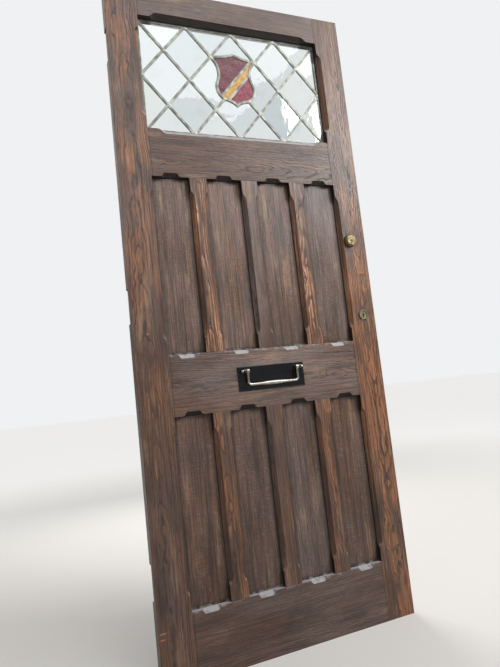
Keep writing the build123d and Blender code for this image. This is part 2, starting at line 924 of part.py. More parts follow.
with BuildPart() as letter_plate_washers:
    for x, z in boss_spots:
        add(rod(x, z, washer_r, back, back + washer_t))
        add(rod(x, z, plate_screw_r + running, back, back + washer_t), mode=Mode.SUBTRACT)
save(letter_plate_washers.part, "letter_plate_washers")

with BuildPart() as letter_plate_screws:
    for x, z in boss_spots:
        add(
            machine_screw(
                x, z, plate_screw_r, plate_head_r, plate_head_h, front + tip_gap, back + washer_t
            )
        )
save(letter_plate_screws.part, "letter_plate_screws")

# Rim cylinder, worked from outside by a key and from inside by the latch knob
ring_front = front - ring_h
flange_front = ring_front - cylinder_flange_t
body_back = ring_front + cylinder_l
link_spots = [(cylinder_x - link_screw_x, cylinder_z), (cylinder_x + link_screw_x, cylinder_z)]

with BuildPart() as cylinder_ring:
    with BuildSketch(Plane.XY.offset(cylinder_z)):
        with BuildLine():
            Polyline(
                (cylinder_x + ring_front_r, ring_front),
                (cylinder_x + cylinder_r + running, ring_front),
                (cylinder_x + cylinder_r + running, front), (cylinder_x + ring_r, front),
                (cylinder_x + ring_r, front - ring_lip),
            )
            TangentArc(
                (cylinder_x + ring_r, front - ring_lip), (cylinder_x + ring_front_r, ring_front),
                tangent=(-0.1, -1),
            )
        make_face()
    revolve(axis=Axis((cylinder_x, 0, cylinder_z), (0, 1, 0)))
save(cylinder_ring.part, "cylinder_ring")

with BuildPart() as cylinder_body:
    add(
        turned(cylinder_x, cylinder_z, (
            (0, flange_front), (cylinder_flange_r - edge_break, flange_front),
            (cylinder_flange_r, flange_front + edge_break), (cylinder_flange_r, ring_front),
            (cylinder_r, ring_front), (cylinder_r, body_back), (0, body_back),
        ))
    )
    add(rod(cylinder_x, turn_z, plug_r + running, flange_front, body_back), mode=Mode.SUBTRACT)
    for x, z in link_spots:
        add(
            rod(x, z, link_screw_r + running, body_back - link_grip, body_back),
            mode=Mode.SUBTRACT,
        )
save(cylinder_body.part, "cylinder_body")

case_front = back + latch_d
case_inner = case_front - latch_wall
plate_back = back + latch_plate_t
cam_back = case_inner - cam_room
cam_front = cam_back - cam_t
bolt_back = cam_front - cam_gap
bolt_front = bolt_back - bolt_t
tail_end = plate_back + hub_gap + tail_grip

with BuildPart() as cylinder_plug:
    plug_front = flange_front - plug_proud
    keyway_end = plug_front + keyway_l
    add(
        turned(cylinder_x, turn_z, (
            (0, plug_front), (plug_r - edge_break, plug_front),
            (plug_r, plug_front + edge_break), (plug_r, body_back), (0, body_back),
        ))
    )
    add(
        [
            block(
                cylinder_x - keyway_w / 2, cylinder_x + keyway_w / 2, plug_front, keyway_end,
                turn_z - keyway_h / 2, turn_z + keyway_h / 2,
            ),
            block(
                cylinder_x, cylinder_x + keyway_w / 2 + ward_w, plug_front, keyway_end,
                turn_z - ward_h / 2, turn_z + ward_h / 2,
            ),
        ],
        mode=Mode.SUBTRACT,
    )
    add(
        block(
            cylinder_x - tail_w / 2, cylinder_x + tail_w / 2, body_back, tail_end,
            turn_z - tail_t / 2, turn_z + tail_t / 2,
        )
    )
save(cylinder_plug.part, "cylinder_plug")

with BuildPart() as cylinder_link_screws:
    for x, z in link_spots:
        add(
            machine_screw(
                x, z, link_screw_r, link_head_r, link_head_h,
                body_back - link_grip + tip_gap, plate_back,
            )
        )
save(cylinder_link_screws.part, "cylinder_link_screws")

# Night latch on the inner face
pillar_spots = [
    (latch_x + i * (latch_w / 2 - pillar_in), turn_z - i * (latch_h / 2 - pillar_in))
    for i in (-1, 1)
]

with BuildPart() as latch_mount_plate:
    with BuildSketch(upright(back)):
        with Locations((latch_x, turn_z)):
            RectangleRounded(
                latch_w - 2 * latch_wall - 2 * slack, latch_h - 2 * latch_wall - 2 * slack,
                latch_corner_r - latch_wall,
            )
        with Locations((cylinder_x, turn_z)):
            Circle(hub_bore_r, mode=Mode.SUBTRACT)
        with Locations(*link_spots):
            Circle(link_screw_r + running, mode=Mode.SUBTRACT)
    extrude(amount=-latch_plate_t)
    for x, z in pillar_spots:
        add(rod(x, z, pillar_r, plate_back, case_inner))
        add(
            rod(x, z, case_screw_r + running, case_inner - pillar_grip, case_inner),
            mode=Mode.SUBTRACT,
        )
    add(latch_screws_in_place, mode=Mode.SUBTRACT)
save(latch_mount_plate.part, "latch_mount_plate")

with BuildPart() as latch_plate_screws:
    add(latch_screws_in_place)
save(latch_plate_screws.part, "latch_plate_screws")

snib_z = turn_z - snib_travel / 2
with BuildPart() as latch_case:
    with BuildSketch(upright(back)):
        with Locations((latch_x, turn_z)):
            RectangleRounded(latch_w, latch_h, latch_corner_r)
    extrude(amount=-latch_d)
    chamfer(latch_case.faces().sort_by(Axis.Y)[-1].edges(), length=latch_bevel)
    with BuildSketch(upright(back)):
        with Locations((latch_x, turn_z)):
            RectangleRounded(
                latch_w - 2 * latch_wall, latch_h - 2 * latch_wall, latch_corner_r - latch_wall
            )
    extrude(amount=-(latch_d - latch_wall), mode=Mode.SUBTRACT)
    with BuildSketch(upright(case_inner)):
        with Locations((cylinder_x, turn_z)):
            Circle(knob_shaft_r + slack)
        with Locations(*pillar_spots):
            Circle(case_screw_r + slack)
        with Locations((snib_x, snib_z + snib_travel / 2)):
            Rectangle(snib_stem_w + 2 * slack, snib_stem_h + snib_travel + 2 * slack)
    extrude(amount=-latch_wall, mode=Mode.SUBTRACT)
    with BuildSketch(Plane.YZ.offset(lock_edge - latch_wall)):
        with Locations(((bolt_front + bolt_back) / 2, turn_z)):
            Rectangle(bolt_t + 2 * slack, bolt_h + 2 * slack)
    extrude(amount=latch_wall, mode=Mode.SUBTRACT)
save(latch_case.part, "latch_case")

with BuildPart() as latch_case_screws:
    for x, z in pillar_spots:
        add(
            machine_screw(
                x, z, case_screw_r, case_head_r, case_head_h,
                case_inner - pillar_grip + tip_gap, case_front,
            )
        )
save(latch_case_screws.part, "latch_case_screws")

# The cam pin stands above the shaft and swings from the lock side to the hinge side,
# and draws the bolt along by a notch in its tail.
cam_reach = cam_pin_at * sin(radians(cam_swing))
bolt_travel = 2 * cam_reach
pin_x = cylinder_x + cam_reach
pin_z = turn_z + cam_pin_at * cos(radians(cam_swing))
tail_low = turn_z + hub_r + hub_gap
tail_high = tail_low + bolt_tail_h
tail_x = cylinder_x - bolt_tail_l
head_x = cylinder_x + hub_r + bolt_travel + hub_gap
bolt_end = lock_edge + bolt_out
notch_top = turn_z + cam_pin_at + cam_pin_r + tip_gap

with BuildPart() as latch_bolt:
    with BuildSketch(upright(bolt_front)):
        with BuildLine():
            Polyline(
                (tail_x, tail_low), (head_x, tail_low), (head_x, turn_z - bolt_h / 2),
                (bolt_end, turn_z - bolt_h / 2), (bolt_end, turn_z + bolt_h / 2),
                (head_x + bolt_step, turn_z + bolt_h / 2), (head_x + bolt_step, tail_high),
                (tail_x, tail_high), close=True,
            )
        make_face()
        with Locations((pin_x, (tail_low + notch_top) / 2)):
            Rectangle(2 * (cam_pin_r + notch_play), notch_top - tail_low, mode=Mode.SUBTRACT)
    extrude(amount=-bolt_t)
    with BuildSketch(Plane.XY.offset(turn_z)):
        with BuildLine():
            Polyline(
                (lock_edge + tip_gap, bolt_front), (bolt_end, bolt_front),
                (bolt_end, bolt_back - edge_break), close=True,
            )
        make_face()
    extrude(amount=bolt_h / 2, both=True, mode=Mode.SUBTRACT)
save(latch_bolt.part, "latch_bolt")

with BuildPart() as latch_cam:
    add(rod(cylinder_x, turn_z, cam_r, cam_front, cam_back))
    add(rod(cylinder_x, turn_z, hub_r, plate_back + hub_gap, cam_front))
    add(rod(pin_x, pin_z, cam_pin_r, bolt_front + tip_gap, cam_front))
    add(
        block(
            cylinder_x - tail_w / 2 - running, cylinder_x + tail_w / 2 + running,
            plate_back + hub_gap, tail_end + tip_gap,
            turn_z - tail_t / 2 - running, turn_z + tail_t / 2 + running,
        ),
        mode=Mode.SUBTRACT,
    )
save(latch_cam.part, "latch_cam")

knob_foot = case_front + knob_gap
knob_end = knob_foot + knob_l
with BuildPart() as latch_knob:
    with BuildSketch(Plane.XY.offset(turn_z)):
        with BuildLine():
            Polyline(
                (cylinder_x + knob_neck_r, knob_foot), (cylinder_x + knob_shaft_r, knob_foot),
                (cylinder_x + knob_shaft_r, cam_back), (cylinder_x, cam_back),
                (cylinder_x, knob_end), (cylinder_x + knob_r - knob_rim, knob_end),
            )
            rim = TangentArc(
                (cylinder_x + knob_r - knob_rim, knob_end),
                (cylinder_x + knob_r, knob_end - knob_rim), tangent=(1, 0),
            )
            TangentArc(rim @ 1, (cylinder_x + knob_neck_r, knob_foot), tangent=rim % 1)
        make_face()
    revolve(axis=Axis((cylinder_x, 0, turn_z), (0, 1, 0)))
    with BuildSketch(upright(knob_foot + knob_rim)):
        for side in (-1, 1):
            with Locations((cylinder_x + side * (grip_t / 2 + knob_r), turn_z)):
                Rectangle(2 * knob_r, 4 * knob_r)
    extrude(amount=-knob_l, mode=Mode.SUBTRACT)
save(latch_knob.part, "latch_knob")

with BuildPart() as snib:
    for y, height, w, h in (
        (case_front + slack, snib_rise, snib_w, snib_h),
        (case_inner - slack, latch_wall + 2 * slack, snib_stem_w, snib_stem_h),
        (case_inner - slack - snib_foot_t, snib_foot_t, snib_w, snib_h),
    ):
        with BuildSketch(upright(y)):
            with Locations((snib_x, snib_z)):
                Rectangle(w, h)
        extrude(amount=-height)
    chamfer(snib.faces().sort_by(Axis.Y)[-1].edges(), length=edge_break)
save(snib.part, "snib")

# Mortice deadlock in the lock stile
case_y = lock_case_t / 2
sheet_y = case_y - lock_sheet
bolt_z = lock_z + deadbolt_up
forend_x = lock_edge - forend_t
bolt_window = block(
    forend_x - lock_sheet, lock_edge, -deadbolt_t / 2 - running, deadbolt_t / 2 + running,
    bolt_z - deadbolt_h / 2 - running, bolt_z + deadbolt_h / 2 + running,
)

with BuildPart() as deadlock_case:
    add(block(lock_back_x, forend_x, -case_y, sheet_y, lock_foot, lock_head))
    add(
        block(
            lock_back_x + lock_sheet, forend_x - lock_sheet, -sheet_y, sheet_y,
            lock_foot + lock_sheet, lock_head - lock_sheet,
        ),
        mode=Mode.SUBTRACT,
    )
    add([bolt_window, keyhole(-case_y, -sheet_y, 0.0)], mode=Mode.SUBTRACT)
save(deadlock_case.part, "deadlock_case")

with BuildPart() as deadlock_cap:
    add(block(lock_back_x, forend_x, sheet_y, case_y, lock_foot, lock_head))
    add(keyhole(sheet_y, case_y, 0.0), mode=Mode.SUBTRACT)
save(deadlock_cap.part, "deadlock_cap")

with BuildPart() as deadlock_forend:
    add(forend_recess)
    add([bolt_window] + forend_screws_in_place, mode=Mode.SUBTRACT)
save(deadlock_forend.part, "deadlock_forend")

with BuildPart() as forend_screws:
    add(forend_screws_in_place)
save(forend_screws.part, "forend_screws")

with BuildPart() as deadbolt:
    talon_z = bolt_z - deadbolt_tail_h / 2
    add(
        [
            block(
                lock_edge - deadbolt_l, lock_edge, -deadbolt_t / 2, deadbolt_t / 2,
                bolt_z - deadbolt_h / 2, bolt_z + deadbolt_h / 2,
            ),
            block(
                lock_back_x + deadbolt_tail_in, lock_edge - deadbolt_l, -deadbolt_t / 2,
                deadbolt_tail_t - deadbolt_t / 2, talon_z, talon_z + deadbolt_tail_h,
            ),
        ]
    )
    add(rod(key_x, talon_z, talon_r, -deadbolt_t / 2, deadbolt_t / 2), mode=Mode.SUBTRACT)
save(deadbolt.part, "deadbolt")


def escutcheon(face):
    """A dished round escutcheon on the outer (-1) or inner (1) face."""
    seat = face * door_t / 2
    profile = (
        (0, 0), (escutcheon_r, 0), (escutcheon_r, escutcheon_h - escutcheon_bevel),
        (escutcheon_r - escutcheon_bevel, escutcheon_h),
        (escutcheon_r - escutcheon_rim, escutcheon_h),
        (escutcheon_r - escutcheon_rim - escutcheon_bevel, escutcheon_floor),
        (0, escutcheon_floor),
    )
    ends = sorted((seat, seat + face * escutcheon_floor))
    with BuildPart() as disc:
        add(turned(key_x, lock_z, [(radius, seat + face * rise) for radius, rise in profile]))
        add(keyhole(ends[0], ends[1], slack), mode=Mode.SUBTRACT)
    return disc.part


save(escutcheon(-1), "outer_escutcheon")
save(escutcheon(1), "inner_escutcheon")
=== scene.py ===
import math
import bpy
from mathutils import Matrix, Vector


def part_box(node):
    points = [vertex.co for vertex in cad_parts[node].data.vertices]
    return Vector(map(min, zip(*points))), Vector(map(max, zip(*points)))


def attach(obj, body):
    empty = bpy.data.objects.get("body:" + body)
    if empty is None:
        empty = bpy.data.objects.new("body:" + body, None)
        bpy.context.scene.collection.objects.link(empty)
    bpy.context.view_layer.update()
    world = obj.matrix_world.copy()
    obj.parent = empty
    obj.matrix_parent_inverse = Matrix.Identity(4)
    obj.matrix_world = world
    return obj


bl_info = {
    "name": "Oak Entrance Door",
    "version": (1, 0, 0),
    "blender": (4, 5, 0),
    "location": "3D View > Sidebar > Oak Door",
    "description": "Finishes and small work for a panelled oak door leaf with a leaded light",
    "category": "Object",
}

from dataclasses import dataclass

import bmesh
import bpy
from bpy.props import FloatProperty, FloatVectorProperty, PointerProperty
from mathutils import Matrix, Vector

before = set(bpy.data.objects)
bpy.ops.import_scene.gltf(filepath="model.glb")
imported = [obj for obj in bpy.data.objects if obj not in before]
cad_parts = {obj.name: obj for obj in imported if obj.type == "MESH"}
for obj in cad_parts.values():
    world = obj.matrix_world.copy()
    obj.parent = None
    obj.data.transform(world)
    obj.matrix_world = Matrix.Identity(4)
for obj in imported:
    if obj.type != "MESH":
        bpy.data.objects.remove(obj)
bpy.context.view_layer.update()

# Boxes of the solids, and the light's sight lines and lattice worked out from them
LEAF_LOW, LEAF_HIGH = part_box("hinge_stile")
LIGHT_LOW, LIGHT_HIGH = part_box("clear_quarries")
LEADS_LOW, LEADS_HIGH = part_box("lead_cames")
PIN_LOW, PIN_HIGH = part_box("flap_pin")
OUTER_FACE = LEAF_LOW.y
LIGHT_REBATE = 0.0085
GLASS_GAP = 0.0002
LIGHT_EDGE = LIGHT_HIGH.x - LIGHT_REBATE
STILE_EDGE = LIGHT_EDGE + GLASS_GAP
LIGHT_TOP = LIGHT_HIGH.z - LIGHT_REBATE
LIGHT_FOOT = LIGHT_LOW.z + LIGHT_REBATE
CELL = Vector((STILE_EDGE / 2, (LIGHT_TOP - LIGHT_FOOT) / 2))

# Foot and head of each row of panels, and the bays that the muntins make
LOWER_ROW = (0.180, 0.707)
UPPER_ROW = (0.884, 1.420)
BAY_PITCH = 0.16875
BAY_HALF = 0.0574

# How far the border's solder joints stand in, and the shield's lower corner in shares of a cell
SOLDER_INSET = 0.0028
SHIELD_CORNER = (0.28, 1.279)

# Vertices nearer to each other than this are merged
WELD = 0.00001

# Camera and lamps
CAMERA_PLACE = Vector((-0.6552, -1.4972, 0.7650))
CAMERA_AHEAD = Vector((0.3760, 0.9208, 0.1038))
CAMERA_ABOVE = Vector((0.0614, -0.1366, 0.9887))
SKY_LAMP_PLACE = Vector((0.9, -2.2, 3.9))
KEY_LAMP_PLACE = Vector((2.9, -2.4, 3.1))
BACK_LAMP_PLACE = Vector((0.3, 2.2, 1.9))


def tone(red, green, blue):
    """A colour given in the usual 0 to 255 values, as the linear values that shaders take."""
    return tuple(
        c / 12.92 if c <= 0.04045 else ((c + 0.055) / 1.055) ** 2.4
        for c in (red / 255, green / 255, blue / 255)
    )


def colour(name, description, value):
    """A colour that the user can change."""
    return FloatVectorProperty(
        name=name, description=description, default=value, subtype="COLOR", size=3, min=0, max=1
    )


def length(name, description, value):
    """A length in metres that the user can change."""
    return FloatProperty(
        name=name, description=description, default=value, unit="LENGTH", precision=5
    )


class OakSettings(bpy.types.PropertyGroup):
    """Colours and grain of the oak."""

    pore: colour("Pores", "Stain left in the open pores", tone(30, 19, 14))
    ground: colour("Ground", "The stained oak between the pores", tone(90, 66, 53))
    # Partly old polish gone grey and partly a painted sheen of the light from above
    grey: colour("Grey bloom", "Old polish gone grey", tone(116, 101, 96))
    warm: colour("Worn oak", "Where the stain has worn thin", tone(160, 104, 66))
    pale: colour("Pale oak", "Latewood that took the least stain", tone(206, 166, 134))
    ray: colour("Ray flecks", "Pale flecks of the quartered panels", tone(146, 122, 108))
    raw: colour("Bare oak", "Fresh wood where the surface is chipped", tone(148, 98, 68))
    # Besides the dark joints, this colour is painted shade under edges, on side faces and round
    # the panels
    grime: colour("Grime", "Dirt in corners and under edges", tone(16, 11, 9))
    # On the oak this is dust and a painted sheen on faces that look up
    dust: colour("Dust", "Pale dust on edges that face up", tone(166, 165, 166))
    ring: length("Growth ring", "Width of one growth ring", 0.0046)
    arris: length("Arris wear", "How far in from an edge the finish has rubbed", 0.0022)


class MetalSettings(bpy.types.PropertyGroup):
    """Colours of the metal pieces."""

    lead: colour("Lead", "Weathered lead", tone(150, 152, 144))
    oxide: colour("Lead oxide", "Dark oxide in the hollows of the lead", tone(92, 96, 88))
    solder: colour("Solder", "Tinned joints of the leads", tone(172, 174, 166))
    black: colour("Black plate", "Gloss black paint", tone(6, 8, 13))
    steel: colour("Polished steel", "The bail pull", tone(196, 190, 182))
    stain: colour("Tarnish", "Brown tarnish on the polished steel", tone(70, 54, 42))
    brass: colour("Brass", "Worn brass", tone(150, 135, 100))
    patina: colour("Patina", "Dark patina on the brass", tone(54, 48, 34))
    bronze: colour("Escutcheons", "Greyed brass of the escutcheons", tone(146, 136, 112))
    zinc: colour("Zinc", "Plated screws and hidden steel", tone(158, 160, 162))
    enamel: colour("Enamel", "Case of the night latch", tone(46, 38, 32))


class GlassSettings(bpy.types.PropertyGroup):
    """Colours of the glass."""

    clear: colour("Clear glass", "The palest clear quarries", tone(240, 244, 242))
    shaded: colour("Shaded glass", "The greyest clear quarries", tone(206, 216, 218))
    ruby: colour("Ruby glass", "The upper left of the shield", tone(106, 10, 36))
    ruby_pale: colour("Pale ruby", "The lower right of the shield", tone(150, 40, 66))
    amber: colour("Amber glass", "The diagonal band", tone(240, 198, 78))
    amber_dark: colour("Dark amber", "Mottling in the band", tone(184, 122, 40))


class StageSettings(bpy.types.PropertyGroup):
    """Camera, floor and lamps."""

    focal: FloatProperty(
        name="Focal length", description="Lens of the camera", default=28.353, unit="CAMERA"
    )
    floor: colour("Floor", "Plain pale floor", tone(206, 203, 198))
    sky: colour("Backdrop", "Plain pale surroundings", tone(240, 241, 242))
    sky_power: FloatProperty(
        name="Sky", description="Strength of the even light from above", default=1.2
    )
    key: FloatProperty(
        name="Key lamp", description="Power of the soft lamp over the outer face", default=165.0,
        unit="POWER",
    )
    fill: FloatProperty(
        name="Back lamp", description="Power of the soft lamp over the inner face", default=44.0,
        unit="POWER",
    )


class Socket:
    """An output of a shader node that can stand in a Python expression."""

    def __init__(self, tree, output):
        self.tree = tree
        self.output = output

    def other(self, name):
        """Another output of the same node."""
        return Socket(self.tree, self.output.node.outputs[name])

    def maths(self, operation, *values):
        """Work on this value, and on others where the operation takes them."""
        sockets = dict(enumerate((self, *values)))
        return self.tree.node("ShaderNodeMath", {"operation": operation}, sockets)

    def __add__(self, value):
        return self.maths("ADD", value)

    def __sub__(self, value):
        return self.maths("SUBTRACT", value)

    def __mul__(self, value):
        return self.maths("MULTIPLY", value)

    def __truediv__(self, value):
        return self.maths("DIVIDE", value)

    def __pow__(self, value):
        return self.maths("POWER", value)

    def __rsub__(self, value):
        return self.tree.node("ShaderNodeMath", {"operation": "SUBTRACT"}, {0: value, 1: self})

    def __rtruediv__(self, value):
        return self.tree.node("ShaderNodeMath", {"operation": "DIVIDE"}, {0: value, 1: self})

    __radd__ = __add__
    __rmul__ = __mul__

    def step(self, low, high):
        """0 below low and 1 above high, smooth in between; low may be the greater."""
        settings = {"interpolation_type": "SMOOTHSTEP"}
        values = {"Value": self, "From Min": low, "From Max": high}
        return self.tree.node("ShaderNodeMapRange", settings, values)


class NodeTree:
    """The nodes of a material or of the surroundings while they are laid out."""

    def __init__(self, tree):
        self.nodes = tree.nodes
        self.links = tree.links
        self.nodes.clear()

    def node(self, kind, settings=None, sockets=None, out=0):
        """Add a node: its settings first, then the values or links of its sockets."""
        made = self.nodes.new(kind)
        for name, value in (settings or {}).items():
            setattr(made, name, value)
        for name, value in (sockets or {}).items():
            if isinstance(value, Socket):
                self.links.new(value.output, made.inputs[name])
            elif made.inputs[name].type == "RGBA":
                made.inputs[name].default_value = (*value[:3], 1.0)
            else:
                made.inputs[name].default_value = value
        return Socket(self, made.outputs[out]) if made.outputs else None

    def axes(self, vector):
        """The three coordinates of a vector."""
        x = self.node("ShaderNodeSeparateXYZ", sockets={0: vector})
        return x, x.other("Y"), x.other("Z")


class Finish(NodeTree):
    """A procedural material while it is being mixed."""

    def __init__(self, name):
        self.material = bpy.data.materials.new(name)
        self.material.use_nodes = True
        super().__init__(self.material.node_tree)
        self.place = self.node("ShaderNodeTexCoord", out="Object")

    def noise(self, vector, scale, detail=3.0, roughness=0.55, stretch=(1.0, 1.0, 1.0)):
        """Noise from 0 to 1, stretched along the axes where a share is under 1."""
        settings = {"operation": "MULTIPLY"}
        spread = self.node("ShaderNodeVectorMath", settings, {0: vector, 1: stretch})
        return self.node("ShaderNodeTexNoise", sockets={
            "Vector": spread, "Scale": scale, "Detail": detail, "Roughness": roughness,
        })

    def cells(self, vector, scale, feature="F1"):
        """The distance to the nearest of many scattered points."""
        sockets = {"Vector": vector, "Scale": scale}
        return self.node("ShaderNodeTexVoronoi", {"feature": feature}, sockets, out="Distance")

    def blend(self, factor, first, second):
        """Mix two colours."""
        sockets = {0: factor, 6: first, 7: second}
        return self.node("ShaderNodeMix", {"data_type": "RGBA"}, sockets, out=2)

    def facing(self):
        """How far the surface faces along each axis, from -1 to 1."""
        return self.axes(self.node("ShaderNodeNewGeometry", out="Normal"))

    def soft_edges(self, radius):
        """The surface direction with edges eased by a radius, and a mask of those edges."""
        eased = self.node("ShaderNodeBevel", {"samples": 4}, {"Radius": radius})
        plain = self.node("ShaderNodeNewGeometry", out="Normal")
        settings = {"operation": "DOT_PRODUCT"}
        likeness = self.node("ShaderNodeVectorMath", settings, {0: eased, 1: plain}, out="Value")
        return eased, (1.0 - likeness).step(0.01, 0.16)

    def relief(self, height, strength, distance, normal=None):
        """A surface direction that follows a height, over another direction if one is given."""
        sockets = {"Height": height, "Strength": strength, "Distance": distance}
        if normal:
            sockets["Normal"] = normal
        return self.node("ShaderNodeBump", sockets=sockets)

    def surface(self, **sockets):
        """Finish the material with a principled shader; names use _ for a space."""
        named = {name.replace("_", " "): value for name, value in sockets.items()}
        shader = self.node("ShaderNodeBsdfPrincipled", sockets=named)
        self.node("ShaderNodeOutputMaterial", sockets={"Surface": shader})
        return self.material


def greatest(masks):
    """The greatest of several masks at each point."""
    whole, *others = masks
    for mask in others:
        whole = whole.maths("MAXIMUM", mask)
    return whole


@dataclass
class Board:
    """How one board was cut from its log and how its finish has aged.

    cut picks the board's own noise, off and pith place its log's middle, lean tilts it along the
    board, and wander and figure say how much its rings stray and show. grey, warm, pale and fleck
    are amounts, grey being a bloom that is partly old polish and partly painted sheen, warm_at the
    heights where warm fades in, worn_spots the middles and half sizes of scrapes. ledge is for a
    rail whose upper lip gathers dust and a painted sheen, and row for a panel's foot and head.
    """

    cut: float
    along: str = "Z"
    off: float = 0.0
    pith: float = 0.05
    lean: float = 0.025
    wander: float = 1.0
    figure: float = 1.0
    grey: float = 0.5
    warm: float = 0.3
    warm_at: tuple = ()
    pale: float = 0.0
    fleck: float = 0.0
    worn_spots: tuple = ()
    ledge: bool = False
    row: tuple = ()


# Scrapes on the outer face, each with the x and z of its middle and its half width and height
STILE_SCRAPES = (
    ((-0.394, 0.146), (0.010, 0.0024)),
    ((-0.396, 0.131), (0.009, 0.0020)),
    ((-0.373, 0.570), (0.0016, 0.032)),
    ((-0.363, 0.949), (0.004, 0.003)),
)
LOCK_STILE_SPOTS = (((0.3877, 0.681), (0.0028, 0.0028)),)

BOARDS = {
    "hinge_stile": Board(0.3, off=0.012, pith=0.040, lean=0.022, wander=1.2, grey=0.3, warm=1.0,
                         warm_at=(0.4, 1.6), worn_spots=STILE_SCRAPES),
    "lock_stile": Board(5.2, off=-0.016, pith=0.034, lean=-0.030, wander=1.4, figure=1.1, grey=0.0,
                        warm=1.7, warm_at=(1.75, 1.1), worn_spots=LOCK_STILE_SPOTS),
    "top_rail": Board(9.1, "X", off=0.11, pith=0.02, figure=0.9, grey=0.5, warm=0.0),
    "frieze_rail": Board(3.7, "X", off=0.035, pith=0.035, lean=0.05, wander=1.2, grey=0.35,
                         warm=0.1),
    "lock_rail": Board(7.9, "X", off=0.01, pith=0.03, lean=0.05, wander=1.5, grey=0.95,
                       warm=0.35, ledge=True),
    "bottom_rail": Board(12.3, "X", off=0.10, pith=0.03, wander=1.3, figure=0.9, grey=0.6,
                         warm=0.1, ledge=True),
    "upper_muntin_1": Board(1.9, off=0.006, pith=0.018, lean=0.030, wander=1.3, figure=1.1,
                            grey=0.0, warm=1.3, pale=0.8),
    "upper_muntin_2": Board(6.4, off=0.09, pith=0.03, wander=1.6, figure=0.6, grey=0.9, warm=0.1),
    "upper_muntin_3": Board(8.6, off=-0.004, pith=0.022, lean=0.036, wander=1.5, figure=1.1,
                            grey=0.5, warm=1.4, warm_at=(1.36, 1.24), pale=0.8),
    "lower_muntin_1": Board(4.4, off=0.010, pith=0.025, lean=0.028, wander=1.3, grey=0.15,
                            warm=1.0),
    "lower_muntin_2": Board(2.7, off=0.07, pith=0.03, wander=1.2, figure=0.6, grey=0.35, warm=0.3),
    "lower_muntin_3": Board(10.6, off=-0.012, pith=0.03, lean=-0.03, wander=1.3, grey=0.1,
                            warm=0.9),
    "glazing_beads": Board(1.0, off=0.1, figure=0.6, grey=0.2, warm=0.2),
    "tenon_wedges": Board(2.0, "X", off=0.1, figure=0.5, grey=0.2, warm=0.3),
}

# How warm the upper and the lower panel of each bay are, and the boards of those panels
PANEL_WARMTH = ((0.2, 0.3), (0.5, 0.15), (0.25, 0.05), (0.05, 0.35))
for bay, (upper_warm, lower_warm) in enumerate(PANEL_WARMTH):
    BOARDS[f"upper_panel_{bay + 1}"] = Board(
        1.3 * bay, off=0.19 - 0.03 * bay, pith=0.02, wander=0.7, figure=0.75,
        grey=0.6 + 0.2 * (bay % 2), warm=upper_warm, fleck=0.8, row=UPPER_ROW,
    )
    BOARDS[f"lower_panel_{bay + 1}"] = Board(
        1.1 * bay + 6, off=0.17 + 0.02 * bay, pith=0.02, wander=0.8, figure=0.75,
        grey=0.3 + 0.4 * (bay == 2), warm=lower_warm, fleck=1.0, row=LOWER_ROW,
    )


def growth_rings(f, board, grain, across, depth, along, width):
    """Rings round a wandering pith: the early wood, the late wood and each ring's vigour."""
    drift, sway, ripple = 0.030 * board.wander, 0.014 * board.wander, 0.0032 * board.wander
    slow = f.noise(grain, 2.4, detail=2.0, stretch=(2.0, 2.0, 1.0))
    wave = f.noise(grain, 9.0, detail=2.0, stretch=(2.2, 2.2, 1.0))
    curl = f.noise(grain, 42.0, detail=2.0, stretch=(2.5, 2.5, 0.7))
    sideways = (slow - 0.5) * drift + across + board.off
    behind = (wave - 0.5) * sway + along * board.lean + depth + board.pith
    radius = (sideways ** 2.0 + behind ** 2.0) ** 0.5 + (curl - 0.5) * ripple
    growth = radius / width
    vigour = f.node("ShaderNodeTexNoise", {"noise_dimensions": "1D"}, {"W": growth, "Scale": 0.45})
    ring = (growth + vigour * 1.5).maths("FRACT")
    early = ring.step(0.0, 0.10) * ring.step(0.48, 0.14)
    late = ring.step(0.35, 0.9)
    return early, late, vigour


def scraped(f, spots, x, y, z, streak):
    """A mask of the ragged spots where the finish is scraped off the outer face."""
    skin = 0.004
    ragged = (f.noise(f.place, 190.0, detail=3.0) - 0.5) * 1.6 + (streak - 0.5) * 3.0
    front = y.step(OUTER_FACE + skin, OUTER_FACE)
    masks = []
    for centre, size in spots:
        across = (x - centre[0]) / size[0]
        up = (z - centre[1]) / size[1]
        masks.append((across ** 2.0 + up ** 2.0 + ragged).step(1.0, 0.7) * front)
    return greatest(masks)


def joint_lines(name, board, x, z):
    """A mask of the fine dark joints where the board meets its neighbours."""
    edge, core = 0.0010, 0.0003
    if board.along == "X" or "stile" in name:
        gaps = [x.maths("ABSOLUTE") - STILE_EDGE]
    else:
        gaps = [z - level for level in (*LOWER_ROW, *UPPER_ROW)]
    return greatest([gap.maths("ABSOLUTE").step(edge, core) for gap in gaps])


def corner_shade_and_dirt(f, shade, board, x, z, mottle, colours):
    """Painted shade and grime round the edges of a panel and a drift of dust at its foot."""
    shade_reach, drift_height = 0.014, 0.008
    to_side = x.maths("PINGPONG", BAY_PITCH / 2)
    to_side = (to_side - (BAY_PITCH / 2 - BAY_HALF)).maths("ABSOLUTE")
    foot, head = ((z - level).maths("ABSOLUTE") for level in board.row)
    # Painted shade and grime darken the panel near its edges
    near = to_side.maths("MINIMUM", foot).maths("MINIMUM", head) + (mottle - 0.5) * 0.01
    shade = f.blend(near.step(shade_reach, 0.0) * 0.7, shade, colours.grime)
    drift = foot.step(drift_height, 0.0) * mottle.step(0.42, 0.6)
    return f.blend(drift * 0.5, shade, colours.dust)


